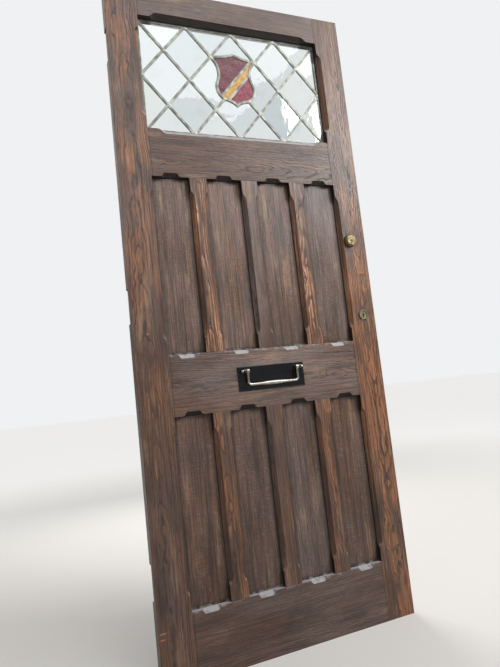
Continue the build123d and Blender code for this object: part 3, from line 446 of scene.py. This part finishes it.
def oak(name, board, colours):
    """Stained oak cut along one axis: growth rings, pores, flecks, bloom, worn arrises, dust,
    painted shade and painted sheen.
    """
    f = Finish("oak_" + name)
    low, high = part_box(name)
    middle = (low + high) / 2
    x, y, z = f.axes(f.place)
    if board.along == "X":
        along, across = x - middle.x, z - middle.z
    else:
        along, across = z - middle.z, x - middle.x
    depth = y - OUTER_FACE

    # Grain: patterns that run with the board
    grain = f.node("ShaderNodeCombineXYZ", sockets={
        "X": across + board.cut, "Y": depth + board.cut, "Z": along + board.cut,
    })
    early, late, vigour = growth_rings(f, board, grain, across, depth, along, colours.ring)
    streak = f.noise(grain, 170.0, detail=3.0, stretch=(1.0, 1.0, 0.03))
    fibre = f.noise(grain, 620.0, detail=2.0, stretch=(1.0, 1.0, 0.03))
    pores = f.noise(grain, 900.0, detail=1.0, stretch=(1.0, 1.0, 0.05)).step(0.46, 0.6)
    patch = f.noise(grain, 11.0, detail=4.0, stretch=(1.6, 1.6, 0.45))
    bloom = f.noise(grain, 5.0, detail=4.0, stretch=(1.5, 1.5, 0.6))
    stain = f.noise(grain, 15.0, detail=5.0, roughness=0.62, stretch=(1.6, 1.6, 0.35))
    broken = f.noise(grain, 34.0, detail=4.0, stretch=(1.4, 1.4, 0.3)).step(0.36, 0.60)

    # Finish: grey bloom, partly old polish and partly painted sheen, over the stained ground, and
    # warm or pale oak where the stain is thin
    shade = f.blend(bloom.step(0.34, 0.62) * board.grey, colours.ground, colours.grey)
    warm = (late * 0.6 + 0.4) * patch.step(0.36, 0.62) * streak.step(0.25, 0.6) * board.warm
    if board.warm_at:
        warm = warm * (z.step(*board.warm_at) * 0.7 + 0.3)
    shade = f.blend(warm.maths("MINIMUM", 1.0), shade, colours.warm)
    if board.pale:
        shade = f.blend(warm * late * streak.step(0.4, 0.7) * board.pale, shade, colours.pale)
    if board.fleck:
        rays = f.noise(grain, 120.0, detail=2.0, stretch=(0.5, 1.0, 2.6)).step(0.5, 0.66)
        shade = f.blend(rays * streak.step(0.35, 0.6) * (board.fleck * 0.5), shade, colours.ray)

    # Figure: stain in the early wood, the pores and the streaks, and a painted shade that deepens
    # towards the foot
    dark = early * (pores * 0.4 + 0.6) * (vigour * 1.1 + 0.35) * (broken * 0.65 + 0.4)
    dark = (dark * board.figure + pores * 0.25).maths("MINIMUM", 1.0)
    shade = f.blend(stain.step(0.5, 0.68) * 0.4, shade, colours.pore)
    shade = f.blend(stain.step(0.46, 0.32) * 0.22, shade, colours.pale)
    shade = f.blend(dark * 0.9, shade, colours.pore)
    shade = f.blend(streak.step(0.62, 0.3) * 0.5 + (fibre - 0.5) * 0.8, shade, colours.pore)
    # Painted shade: the oak darkens towards the foot of the door
    shade = f.blend(z.step(1.25, 0.1) * 0.3, shade, colours.pore)

    # Wear: rubbed arrises, scrapes down to bare oak and dark joints
    normal, arris = f.soft_edges(colours.arris)
    rub = arris * f.noise(f.place, 38.0, detail=3.0).step(0.42, 0.66)
    shade = f.blend(rub * 0.6, shade, colours.warm)
    bare = 0.0
    if board.worn_spots:
        bare = scraped(f, board.worn_spots, x, y, z, streak)
        shade = f.blend(bare * 0.85, shade, colours.raw)
    seam = joint_lines(name, board, x, z)
    shade = f.blend(seam * 0.85, shade, colours.grime)

    # Painted shade under edges, on the sides beside the muntins and round the panels; dust with a
    # painted sheen on what faces up
    side, _, up = f.facing()
    mottle = f.noise(f.place, 60.0, detail=4.0)
    inside = x.maths("ABSOLUTE").step(STILE_EDGE + 0.02, STILE_EDGE + 0.012)
    # Painted shade on faces that look sideways inside the frame and on faces that look down
    painted_shade = side.maths("ABSOLUTE").step(0.68, 0.9) * inside * 0.9
    painted_shade = painted_shade.maths("MAXIMUM", up.step(-0.3, -0.65) * 0.92)
    shade = f.blend(painted_shade, shade, colours.grime)
    top_edge = z.step(LEAF_HIGH.z - 0.01, LEAF_HIGH.z)
    # Faces that look up turn pale with dust and a painted sheen of the light from above, a little
    # more higher up
    dusty = up.step(0.25, 0.6) * mottle.step(0.2, 0.5) * (1.0 - top_edge * 0.6)
    if board.ledge:
        lip = (z - high.z).step(-0.010, -0.002) * mottle.step(0.48, 0.66)
        dusty = dusty.maths("MAXIMUM", lip * 0.45)
    shade = f.blend(dusty * (z.step(0.2, 0.9) * 0.2 + 0.65), shade, colours.dust)
    if board.row:
        shade = corner_shade_and_dirt(f, shade, board, x, z, mottle, colours)

    height = streak * 0.5 + fibre * 0.35 - dark * 0.9 - seam * 1.5 - bare * 0.8
    rough = dark * 0.22 + dusty * 0.35 + bare * 0.3 + (bloom - 0.5) * 0.2 + painted_shade * 0.3 + 0.38
    return f.surface(
        Base_Color=shade, Roughness=rough,
        Normal=f.relief(height, 0.6, 0.0007, normal), IOR=1.45,
    )


def aged_metal(name, base, deposit, clean, rough, scale=90.0):
    """A metal with a deposit that gathers in patches, scuffs and rubbed edges."""
    f = Finish(name)
    patches = f.noise(f.place, scale, detail=4.0)
    fine = f.noise(f.place, scale * 9, detail=2.0)
    scuffs = f.noise(f.place, scale * 5, detail=2.0, stretch=(1.0, 0.2, 0.35)).step(0.6, 0.75)
    normal, arris = f.soft_edges(0.0012)
    dirty = patches.step(clean - 0.2, clean + 0.4) * (1.0 - arris * 0.8)
    shade = f.blend(dirty * 0.75, base, deposit)
    shade = f.blend((fine - 0.5) * 0.6 + 0.15, shade, deposit)
    shine = rough + dirty * 0.25 - scuffs * 0.08 + (fine - 0.5) * 0.15
    height = fine * 0.3 - dirty * 0.5 - scuffs * 0.3
    return f.surface(
        Base_Color=shade, Metallic=1.0, Roughness=shine,
        Normal=f.relief(height, 0.35, 0.0004, normal),
    )


def weathered_lead(name, base, oxide):
    """Soft lead: dull, hammered by handling, with dark oxide and pale rubbed tops."""
    f = Finish(name)
    dents = f.noise(f.place, 260.0, detail=3.0)
    bloom = f.noise(f.place, 42.0, detail=4.0)
    normal, arris = f.soft_edges(0.0011)
    shade = f.blend(bloom.step(0.35, 0.68), oxide, base)
    shade = f.blend(arris * dents.step(0.3, 0.6) * 0.6, shade, tone(168, 170, 162))
    return f.surface(
        Base_Color=shade, Metallic=0.45, Roughness=0.5 + (dents - 0.5) * 0.3,
        Normal=f.relief(dents, 0.5, 0.0006, normal),
    )


def gloss_black(name, base, wear):
    """Thick gloss paint over a casting, with brush marks, dust and rubbed corners."""
    f = Finish(name)
    brush = f.noise(f.place, 130.0, detail=3.0, stretch=(0.12, 1.0, 1.0))
    orange_peel = f.noise(f.place, 420.0, detail=2.0)
    normal, arris = f.soft_edges(0.0012)
    rubbed = arris * f.noise(f.place, 75.0, detail=4.0).step(0.5, 0.66)
    dusty = f.facing()[2].step(0.4, 0.9) * 0.5
    shade = f.blend(rubbed * 0.7, base, wear)
    shade = f.blend(dusty * brush, shade, tone(120, 118, 116))
    return f.surface(
        Base_Color=shade, Roughness=0.12 + brush * 0.16 + rubbed * 0.25 + dusty * 0.3,
        Coat_Weight=0.6, Coat_Roughness=0.04, IOR=1.42,
        Normal=f.relief(brush * 0.6 + orange_peel * 0.4, 0.18, 0.0005, normal),
    )


def window_glass(name, clear, shaded, grime):
    """Old clear glass: each quarry has its own tint and tilt, a slow ripple and a little grime."""
    f = Finish(name)
    x, _, z = f.axes(f.place)
    across, down = x / CELL.x, (LIGHT_TOP - z) / CELL.y

    # A number of its own for each quarry, counted along both slants of the lattice
    quarry = (across - down).maths("FLOOR") * 13.7 + (across + down).maths("FLOOR") * 7.1
    own = f.node("ShaderNodeTexWhiteNoise", {"noise_dimensions": "1D"}, {"W": quarry})
    tilt = {0: own.other("Color"), "Scale": 0.05}
    tilt = f.node("ShaderNodeVectorMath", {"operation": "SCALE"}, tilt)
    flat = f.node("ShaderNodeNewGeometry", out="Normal")
    leaning = f.node("ShaderNodeVectorMath", {"operation": "ADD"}, {0: flat, 1: tilt})
    leaning = f.node("ShaderNodeVectorMath", {"operation": "NORMALIZE"}, {0: leaning})
    ripple = f.noise(f.place, 24.0, detail=2.0, stretch=(1.0, 1.0, 0.6))
    seeds = f.cells(f.place, 90.0).step(0.07, 0.03)
    film = f.noise(f.place, 13.0, detail=5.0).step(0.5, 0.8)
    shade = f.blend(own, clear, shaded)
    shade = f.blend(film * 0.35, shade, grime)
    return f.surface(
        Base_Color=shade, Roughness=0.015 + film * 0.07, Transmission_Weight=1.0, IOR=1.5,
        Normal=f.relief(ripple + seeds * 0.4, 0.22, 0.0016, leaning),
    )


def stained_glass(name, base, second, streaks, split, wrinkle):
    """Pot-metal glass: wrinkled, streaked, and of a second tint beyond a slanting line.

    The line is where split[0] * x + split[1] * z + split[2] is 0.
    """
    f = Finish(name)
    x, _, z = f.axes(f.place)
    wrinkles = f.noise(f.place, wrinkle, detail=4.0, roughness=0.7)
    folds = f.cells(f.place, wrinkle * 0.8, "SMOOTH_F1")
    side = (x * split[0] + z * split[1] + split[2]) + (wrinkles - 0.5) * 0.02
    shade = f.blend(side.step(-0.006, 0.006), base, second)
    shade = f.blend(wrinkles.step(0.42, 0.72) * 0.5, shade, streaks)
    return f.surface(
        Base_Color=shade, Roughness=0.16 + wrinkles * 0.2, Transmission_Weight=0.55, IOR=1.5,
        Normal=f.relief(wrinkles + folds * 0.5, 0.6, 0.002),
    )


def dress(node, material):
    """Give every slot of a CAD node one material."""
    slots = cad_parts[node].material_slots
    if not slots:
        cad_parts[node].data.materials.append(material)
    for slot in slots:
        slot.material = material


def start_primitive():
    """Nothing selected, object mode, ready for a new primitive."""
    if bpy.context.object and bpy.context.object.mode != "OBJECT":
        bpy.ops.object.mode_set(mode="OBJECT")
    bpy.ops.object.select_all(action="DESELECT")


def settle(obj):
    """Put the object's own origin, turn and size into its mesh."""
    start_primitive()
    obj.select_set(True)
    bpy.context.view_layer.objects.active = obj
    bpy.ops.object.transform_apply(location=True, rotation=True, scale=True)


def pick_faces(test):
    """In edit mode, select the faces of the active mesh whose normal and middle pass a test."""
    bpy.ops.mesh.select_mode(type="FACE")
    mesh = bmesh.from_edit_mesh(bpy.context.object.data)
    for face in mesh.faces:
        face.select_set(bool(test(face.normal, face.calc_center_median())))
    mesh.select_flush_mode()
    bmesh.update_edit_mesh(bpy.context.object.data)


def solder_points():
    """Where leads meet: on the lattice, at the border and at the shield's lower corners."""
    across, down = LIGHT_EDGE / 2, CELL.y
    edge = LIGHT_EDGE - SOLDER_INSET
    foot, top = LIGHT_FOOT + SOLDER_INSET, LIGHT_TOP - SOLDER_INSET
    points = []
    for half_row in range(5):
        columns = range(-2, 3) if half_row % 2 == 0 else (-1.5, -0.5, 0.5, 1.5)
        for column in columns:
            inside_shield = half_row == 2 and column == 0
            if inside_shield:
                continue
            x = max(-edge, min(edge, column * across))
            z = max(foot, min(top, LIGHT_TOP - half_row * down / 2))
            points.append((x, z))
    corner_x, corner_z = SHIELD_CORNER[0] * across, LIGHT_TOP - SHIELD_CORNER[1] * down
    return points + [(corner_x, corner_z), (-corner_x, corner_z)]


class OAKDOOR_OT_oak(bpy.types.Operator):
    """Give each board its own grain, stain and wear"""

    bl_idname = "oakdoor.oak"
    bl_label = "Oak Boards"

    def execute(self, context):
        for node, board in BOARDS.items():
            dress(node, oak(node, board, context.scene.oak_settings))
        return {"FINISHED"}


class OAKDOOR_OT_metal(bpy.types.Operator):
    """Finish the letter plate, the locks, the leads and the screws"""

    bl_idname = "oakdoor.metal"
    bl_label = "Metalwork"

    def execute(self, context):
        m = context.scene.metal_settings
        lead = weathered_lead("lead", m.lead, m.oxide)
        black = gloss_black("black_paint", m.black, wear=tone(84, 80, 76))
        steel = aged_metal("polished_steel", m.steel, m.stain, clean=0.48, rough=0.15, scale=42.0)
        brass = aged_metal("worn_brass", m.brass, m.patina, clean=0.38, rough=0.36, scale=190.0)
        dull = aged_metal("dull_brass", m.bronze, m.patina, clean=0.32, rough=0.4, scale=230.0)
        zinc = aged_metal("zinc_plate", m.zinc, tone(96, 92, 86), clean=0.55, rough=0.36)
        enamel = gloss_black("latch_enamel", m.enamel, wear=m.brass)
        finishes = {
            lead: ("lead_cames",),
            black: ("letter_plate", "letter_flap"),
            steel: ("bail_pull", "bail_pins"),
            brass: ("cylinder_ring", "cylinder_body", "cylinder_plug", "latch_bolt", "latch_knob",
                    "snib", "latch_case_screws", "deadbolt", "deadlock_forend", "forend_screws"),
            dull: ("outer_escutcheon", "inner_escutcheon"),
            zinc: ("flap_pin", "letter_plate_washers", "letter_plate_screws",
                   "cylinder_link_screws", "latch_mount_plate", "latch_plate_screws", "latch_cam",
                   "deadlock_case", "deadlock_cap"),
            enamel: ("latch_case",),
        }
        for material, nodes in finishes.items():
            for node in nodes:
                dress(node, material)
        return {"FINISHED"}


class OAKDOOR_OT_glass(bpy.types.Operator):
    """Finish the clear quarries and the coloured glass of the shield"""

    bl_idname = "oakdoor.glass"
    bl_label = "Glass"

    def execute(self, context):
        g = context.scene.glass_settings
        low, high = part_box("ruby_glass")
        middle = (low + high) / 2
        slope = (LIGHT_HIGH.z - LIGHT_LOW.z) / (LIGHT_HIGH.x - LIGHT_LOW.x) * 2
        along = Vector((slope, -1.0)).normalized()
        bend = (along.x, along.y, -(along.x * middle.x + along.y * middle.z))
        no_line = (0.0, 0.0, 0.0)
        clear = window_glass("clear_glass", g.clear, g.shaded, grime=tone(186, 188, 176))
        ruby = stained_glass(
            "ruby", g.ruby, g.ruby_pale, streaks=tone(58, 12, 20), split=bend, wrinkle=46.0
        )
        amber = stained_glass(
            "amber", g.amber, g.amber_dark, streaks=g.amber_dark, split=no_line, wrinkle=85.0
        )
        dress("clear_quarries", clear)
        dress("ruby_glass", ruby)
        dress("amber_bend", amber)
        return {"FINISHED"}


def spread_flange(scene, name, face, out):
    """Copy one face of the leads, and raise and widen it into a rounded flange."""
    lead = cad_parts["lead_cames"]
    spread, sunk, rise, crown = 0.0010, 0.0004, 0.0003, 0.0003
    start_primitive()
    flange = bpy.data.objects.new(name, lead.data.copy())
    scene.collection.objects.link(flange)
    flange.matrix_world = lead.matrix_world
    settle(flange)
    bpy.ops.object.mode_set(mode="EDIT")
    bpy.ops.mesh.select_all(action="SELECT")
    bpy.ops.mesh.remove_doubles(threshold=WELD)

    # All but the outward faces go, and these are raised twice from a little inside the lead
    pick_faces(lambda normal, middle: normal.y * out < 0.9 or abs(middle.y - face) > rise)
    bpy.ops.mesh.delete(type="FACE")
    bpy.ops.mesh.select_all(action="SELECT")
    bpy.ops.transform.translate(value=(0, -out * sunk, 0))
    for height in (sunk + rise, crown):
        bpy.ops.mesh.extrude_region_move(TRANSFORM_OT_translate={"value": (0, out * height, 0)})
    bpy.ops.mesh.select_all(action="SELECT")
    bpy.ops.mesh.normals_make_consistent(inside=False)

    # The lower walls move out sideways, which leaves the crown sloping in
    pick_faces(lambda normal, middle: abs(normal.y) < 0.5 and (middle.y - face) * out < rise)
    bpy.ops.transform.shrink_fatten(value=spread, use_even_offset=True)

    # What passes the sight lines of the light is cut off
    sight_lines = (
        ((STILE_EDGE, face, 0), (1, 0, 0)), ((-STILE_EDGE, face, 0), (-1, 0, 0)),
        ((0, face, LIGHT_TOP), (0, 0, 1)), ((0, face, LIGHT_FOOT), (0, 0, -1)),
    )
    for point, outward in sight_lines:
        bpy.ops.mesh.select_all(action="SELECT")
        bpy.ops.mesh.bisect(plane_co=point, plane_no=outward, clear_outer=True, use_fill=True)
    bpy.ops.object.mode_set(mode="OBJECT")
    bpy.ops.object.shade_smooth_by_angle(angle=math.radians(60))
    return flange


class OAKDOOR_OT_flanges(bpy.types.Operator):
    """Spread the rounded flanges of the leads over both faces of the glass"""

    bl_idname = "oakdoor.flanges"
    bl_label = "Lead Flanges"

    def execute(self, context):
        faces = (("outer_flanges", LEADS_LOW.y, -1), ("inner_flanges", LEADS_HIGH.y, 1))
        for name, face, out in faces:
            flange = spread_flange(context.scene, name, face, out)
            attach(flange, "leaf")
        return {"FINISHED"}


def solder_blob(face, out):
    """One low domed blob of solder on a face of the leads."""
    radius, thickness, ring, shoulder, crown = 0.0046, 0.0012, 0.0014, 0.0005, 0.0003
    start_primitive()
    bpy.ops.mesh.primitive_cylinder_add(
        vertices=14, radius=radius, depth=thickness, location=(0, face, 0),
        rotation=(math.pi / 2, 0, 0),
    )
    blob = bpy.context.object
    bpy.ops.object.transform_apply(location=False, rotation=True, scale=False)
    bpy.ops.object.mode_set(mode="EDIT")
    pick_faces(lambda normal, middle: normal.y * out > 0.9)
    for height in (shoulder, crown):
        bpy.ops.mesh.inset(thickness=ring, depth=0.0)
        bpy.ops.transform.translate(value=(0, out * height, 0))
    bpy.ops.object.mode_set(mode="OBJECT")
    return blob


class OAKDOOR_OT_solder(bpy.types.Operator):
    """Run a solder joint over every crossing of the leads, on both faces"""

    bl_idname = "oakdoor.solder"
    bl_label = "Solder Joints"

    def execute(self, context):
        m = context.scene.metal_settings
        narrowest, play, turn_step = 0.82, 0.36, 0.9
        joints = []
        for face, out in ((LEADS_LOW.y, -1), (LEADS_HIGH.y, 1)):
            blob = solder_blob(face, out)
            for number, (x, z) in enumerate(solder_points()):
                joint = blob.copy()
                joint.data = blob.data.copy()
                context.scene.collection.objects.link(joint)
                squeeze = narrowest + play * ((number * 37) % 10) / 10
                place = Matrix.Translation((x, face, z))
                turn = Matrix.Rotation(number * turn_step, 4, "Y")
                shape = Matrix.Diagonal((squeeze, 1.0, 1.1 / squeeze, 1.0))
                joint.matrix_world = place @ turn @ shape
                joints.append(joint)
            bpy.data.objects.remove(blob)
        start_primitive()
        for joint in joints:
            joint.select_set(True)
        context.view_layer.objects.active = joints[0]
        bpy.ops.object.join()
        solder = context.object
        solder.name = "solder_joints"
        settle(solder)
        bpy.ops.object.shade_smooth_by_angle(angle=math.radians(50))
        solder.data.materials.clear()
        solder.data.materials.append(weathered_lead("solder", m.solder, m.lead))
        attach(solder, "leaf")
        return {"FINISHED"}


class OAKDOOR_OT_spring(bpy.types.Operator):
    """Wind the flap's spring round the middle of its pin"""

    bl_idname = "oakdoor.spring"
    bl_label = "Flap Spring"

    def execute(self, context):
        m = context.scene.metal_settings
        axis = (PIN_LOW + PIN_HIGH) / 2
        wire, coil, pitch, turns, steps_per_turn = 0.0005, 0.0024, 0.0022, 9, 12
        span = pitch * turns
        start_primitive()
        bpy.ops.mesh.primitive_circle_add(
            vertices=8, radius=wire, location=(axis.x - span / 2, axis.y, axis.z + coil),
            rotation=(math.pi / 2, 0, 0), fill_type="NOTHING",
        )
        spring = context.object
        spring.name = "flap_spring"
        settle(spring)
        centre = bpy.data.objects.new("spring_axis", None)
        context.scene.collection.objects.link(centre)
        centre.location = axis
        winding = spring.modifiers.new("winding", "SCREW")
        winding.axis = "X"
        winding.object = centre
        winding.angle = turns * 2 * math.pi
        winding.screw_offset = span
        winding.steps = steps_per_turn * turns
        winding.render_steps = steps_per_turn * turns
        context.view_layer.update()
        bpy.ops.object.modifier_apply(modifier="winding")
        bpy.data.objects.remove(centre)

        # The wire's two ends are closed
        bpy.ops.object.mode_set(mode="EDIT")
        bpy.ops.mesh.select_all(action="SELECT")
        bpy.ops.mesh.remove_doubles(threshold=WELD)
        bpy.ops.mesh.select_all(action="DESELECT")
        bpy.ops.mesh.select_mode(type="VERT")
        bpy.ops.mesh.select_non_manifold()
        bpy.ops.mesh.edge_face_add()
        bpy.ops.mesh.select_all(action="SELECT")
        bpy.ops.mesh.normals_make_consistent(inside=False)
        bpy.ops.object.mode_set(mode="OBJECT")
        bpy.ops.object.shade_smooth()
        spring.data.materials.append(
            aged_metal("spring_steel", m.zinc, tone(70, 66, 62), clean=0.6, rough=0.3)
        )
        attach(spring, "leaf")
        return {"FINISHED"}


def lay_floor(s):
    """A wide plain floor whose far part glows with painted light, so that it fades into the
    backdrop.
    """
    width, glow_from, glow_full, glow_level = 60.0, 0.8, 5.5, 0.48
    start_primitive()
    bpy.ops.mesh.primitive_grid_add(x_subdivisions=8, y_subdivisions=8, size=width)
    floor = bpy.context.object
    floor.name = "floor"
    f = Finish("floor_plaster")
    grain = f.noise(f.place, 9.0, detail=5.0)
    shade = f.blend((grain - 0.5) * 0.12 + 0.06, s.floor, tone(188, 185, 180))
    # Painted light: the floor glows more with distance, up to a share of the backdrop's colour
    far = f.node("ShaderNodeVectorMath", {"operation": "LENGTH"}, {0: f.place}, out="Value")
    glow = tuple(glow_level * c for c in s.sky)
    painted_glow = f.blend(far.step(glow_from, glow_full), (0.0, 0.0, 0.0), glow)
    floor.data.materials.append(f.surface(
        Base_Color=shade, Roughness=0.75 + (grain - 0.5) * 0.1,
        Emission_Color=painted_glow, Emission_Strength=1.0, Normal=f.relief(grain, 0.1, 0.002),
    ))


def surround(scene, sky):
    """Plain pale surroundings that light the door softly and gleam more from above."""
    world = scene.world or bpy.data.worlds.new("surroundings")
    scene.world = world
    world.use_nodes = True
    w = NodeTree(world.node_tree)
    soft, dim, bright = 0.3, 0.12, 1.5
    ray = w.node("ShaderNodeLightPath", out="Is Camera Ray")
    shown = ray.maths("MAXIMUM", ray.other("Is Transmission Ray"))
    height = w.axes(w.node("ShaderNodeTexCoord", out="Generated"))[2]
    gleam = w.node("ShaderNodeMapRange", {"interpolation_type": "SMOOTHSTEP"}, {
        "Value": height, "From Min": -0.05, "From Max": 0.75, "To Min": dim, "To Max": bright,
    })
    level = w.node("ShaderNodeMix", sockets={
        "Factor": ray.other("Is Glossy Ray"), "A": soft, "B": gleam,
    })
    lit = w.node("ShaderNodeBackground", sockets={"Color": sky, "Strength": level})
    backdrop = w.node("ShaderNodeBackground", sockets={"Color": sky, "Strength": 1.0})
    seen = w.node("ShaderNodeMixShader", sockets={0: shown, 1: lit, 2: backdrop})
    w.node("ShaderNodeOutputWorld", sockets={"Surface": seen})


def hang_lamps(s):
    """A broad sky lamp and a soft lamp over each face, none of which shows through the glass."""
    lamps = (
        ("sky_lamp", "SUN", s.sky_power, SKY_LAMP_PLACE),
        ("key_lamp", "AREA", s.key, KEY_LAMP_PLACE),
        ("back_lamp", "AREA", s.fill, BACK_LAMP_PLACE),
    )
    leaf_middle = Vector((0.0, 0.0, 1.0))
    sky_spread, lamp_size = math.radians(35), 1.6
    for name, kind, power, place in lamps:
        start_primitive()
        bpy.ops.object.light_add(type=kind, location=place)
        lamp = bpy.context.object
        lamp.name = name
        lamp.data.energy = power
        lamp.visible_transmission = False
        if kind == "SUN":
            lamp.data.angle = sky_spread
        else:
            lamp.data.size = lamp_size
        lamp.rotation_euler = (leaf_middle - place).to_track_quat("-Z", "Y").to_euler()


def set_camera(scene, focal):
    """A camera low and to the hinge side, tilted up and a little to one side."""
    bpy.ops.object.camera_add(location=CAMERA_PLACE)
    camera = bpy.context.object
    camera.name = "camera"
    right = CAMERA_AHEAD.cross(CAMERA_ABOVE).normalized()
    above = right.cross(CAMERA_AHEAD).normalized()
    turn = Matrix((right, above, -CAMERA_AHEAD.normalized())).transposed()
    camera.rotation_euler = turn.to_euler()
    camera.data.sensor_width = 36.0
    camera.data.lens = focal
    camera.data.clip_start = 0.05
    scene.camera = camera


class OAKDOOR_OT_stage(bpy.types.Operator):
    """Set the floor, the surroundings, the lamps and the camera"""

    bl_idname = "oakdoor.stage"
    bl_label = "Stage"

    def execute(self, context):
        s = context.scene.stage_settings
        lay_floor(s)
        surround(context.scene, s.sky)
        hang_lamps(s)
        set_camera(context.scene, s.focal)
        context.scene.view_settings.view_transform = "Standard"
        return {"FINISHED"}


SETTINGS = {
    "oak_settings": OakSettings, "metal_settings": MetalSettings,
    "glass_settings": GlassSettings, "stage_settings": StageSettings,
}

WORK_ORDER = (
    OAKDOOR_OT_oak, OAKDOOR_OT_metal, OAKDOOR_OT_glass, OAKDOOR_OT_flanges, OAKDOOR_OT_solder,
    OAKDOOR_OT_spring, OAKDOOR_OT_stage,
)


class OAKDOOR_PT_panel(bpy.types.Panel):
    """The door's settings and steps in the sidebar"""

    bl_idname = "OAKDOOR_PT_panel"
    bl_label = "Oak Entrance Door"
    bl_space_type = "VIEW_3D"
    bl_region_type = "UI"
    bl_category = "Oak Door"

    def draw(self, context):
        for operator in WORK_ORDER:
            self.layout.operator(operator.bl_idname)
        for name in SETTINGS:
            group = getattr(context.scene, name)
            box = self.layout.box()
            for prop in group.bl_rna.properties:
                if prop.identifier not in ("rna_type", "name"):
                    box.prop(group, prop.identifier)


def register():
    for name, group in SETTINGS.items():
        bpy.utils.register_class(group)
        setattr(bpy.types.Scene, name, PointerProperty(type=group))
    for item in (*WORK_ORDER, OAKDOOR_PT_panel):
        bpy.utils.register_class(item)


def unregister():
    for item in (OAKDOOR_PT_panel, *reversed(WORK_ORDER)):
        bpy.utils.unregister_class(item)
    for name, group in SETTINGS.items():
        delattr(bpy.types.Scene, name)
        bpy.utils.unregister_class(group)


def main():
    register()
    for operator in WORK_ORDER:
        family, step = operator.bl_idname.split(".")
        getattr(getattr(bpy.ops, family), step)()
    bpy.context.view_layer.update()


if __name__ == "__main__":
    main()
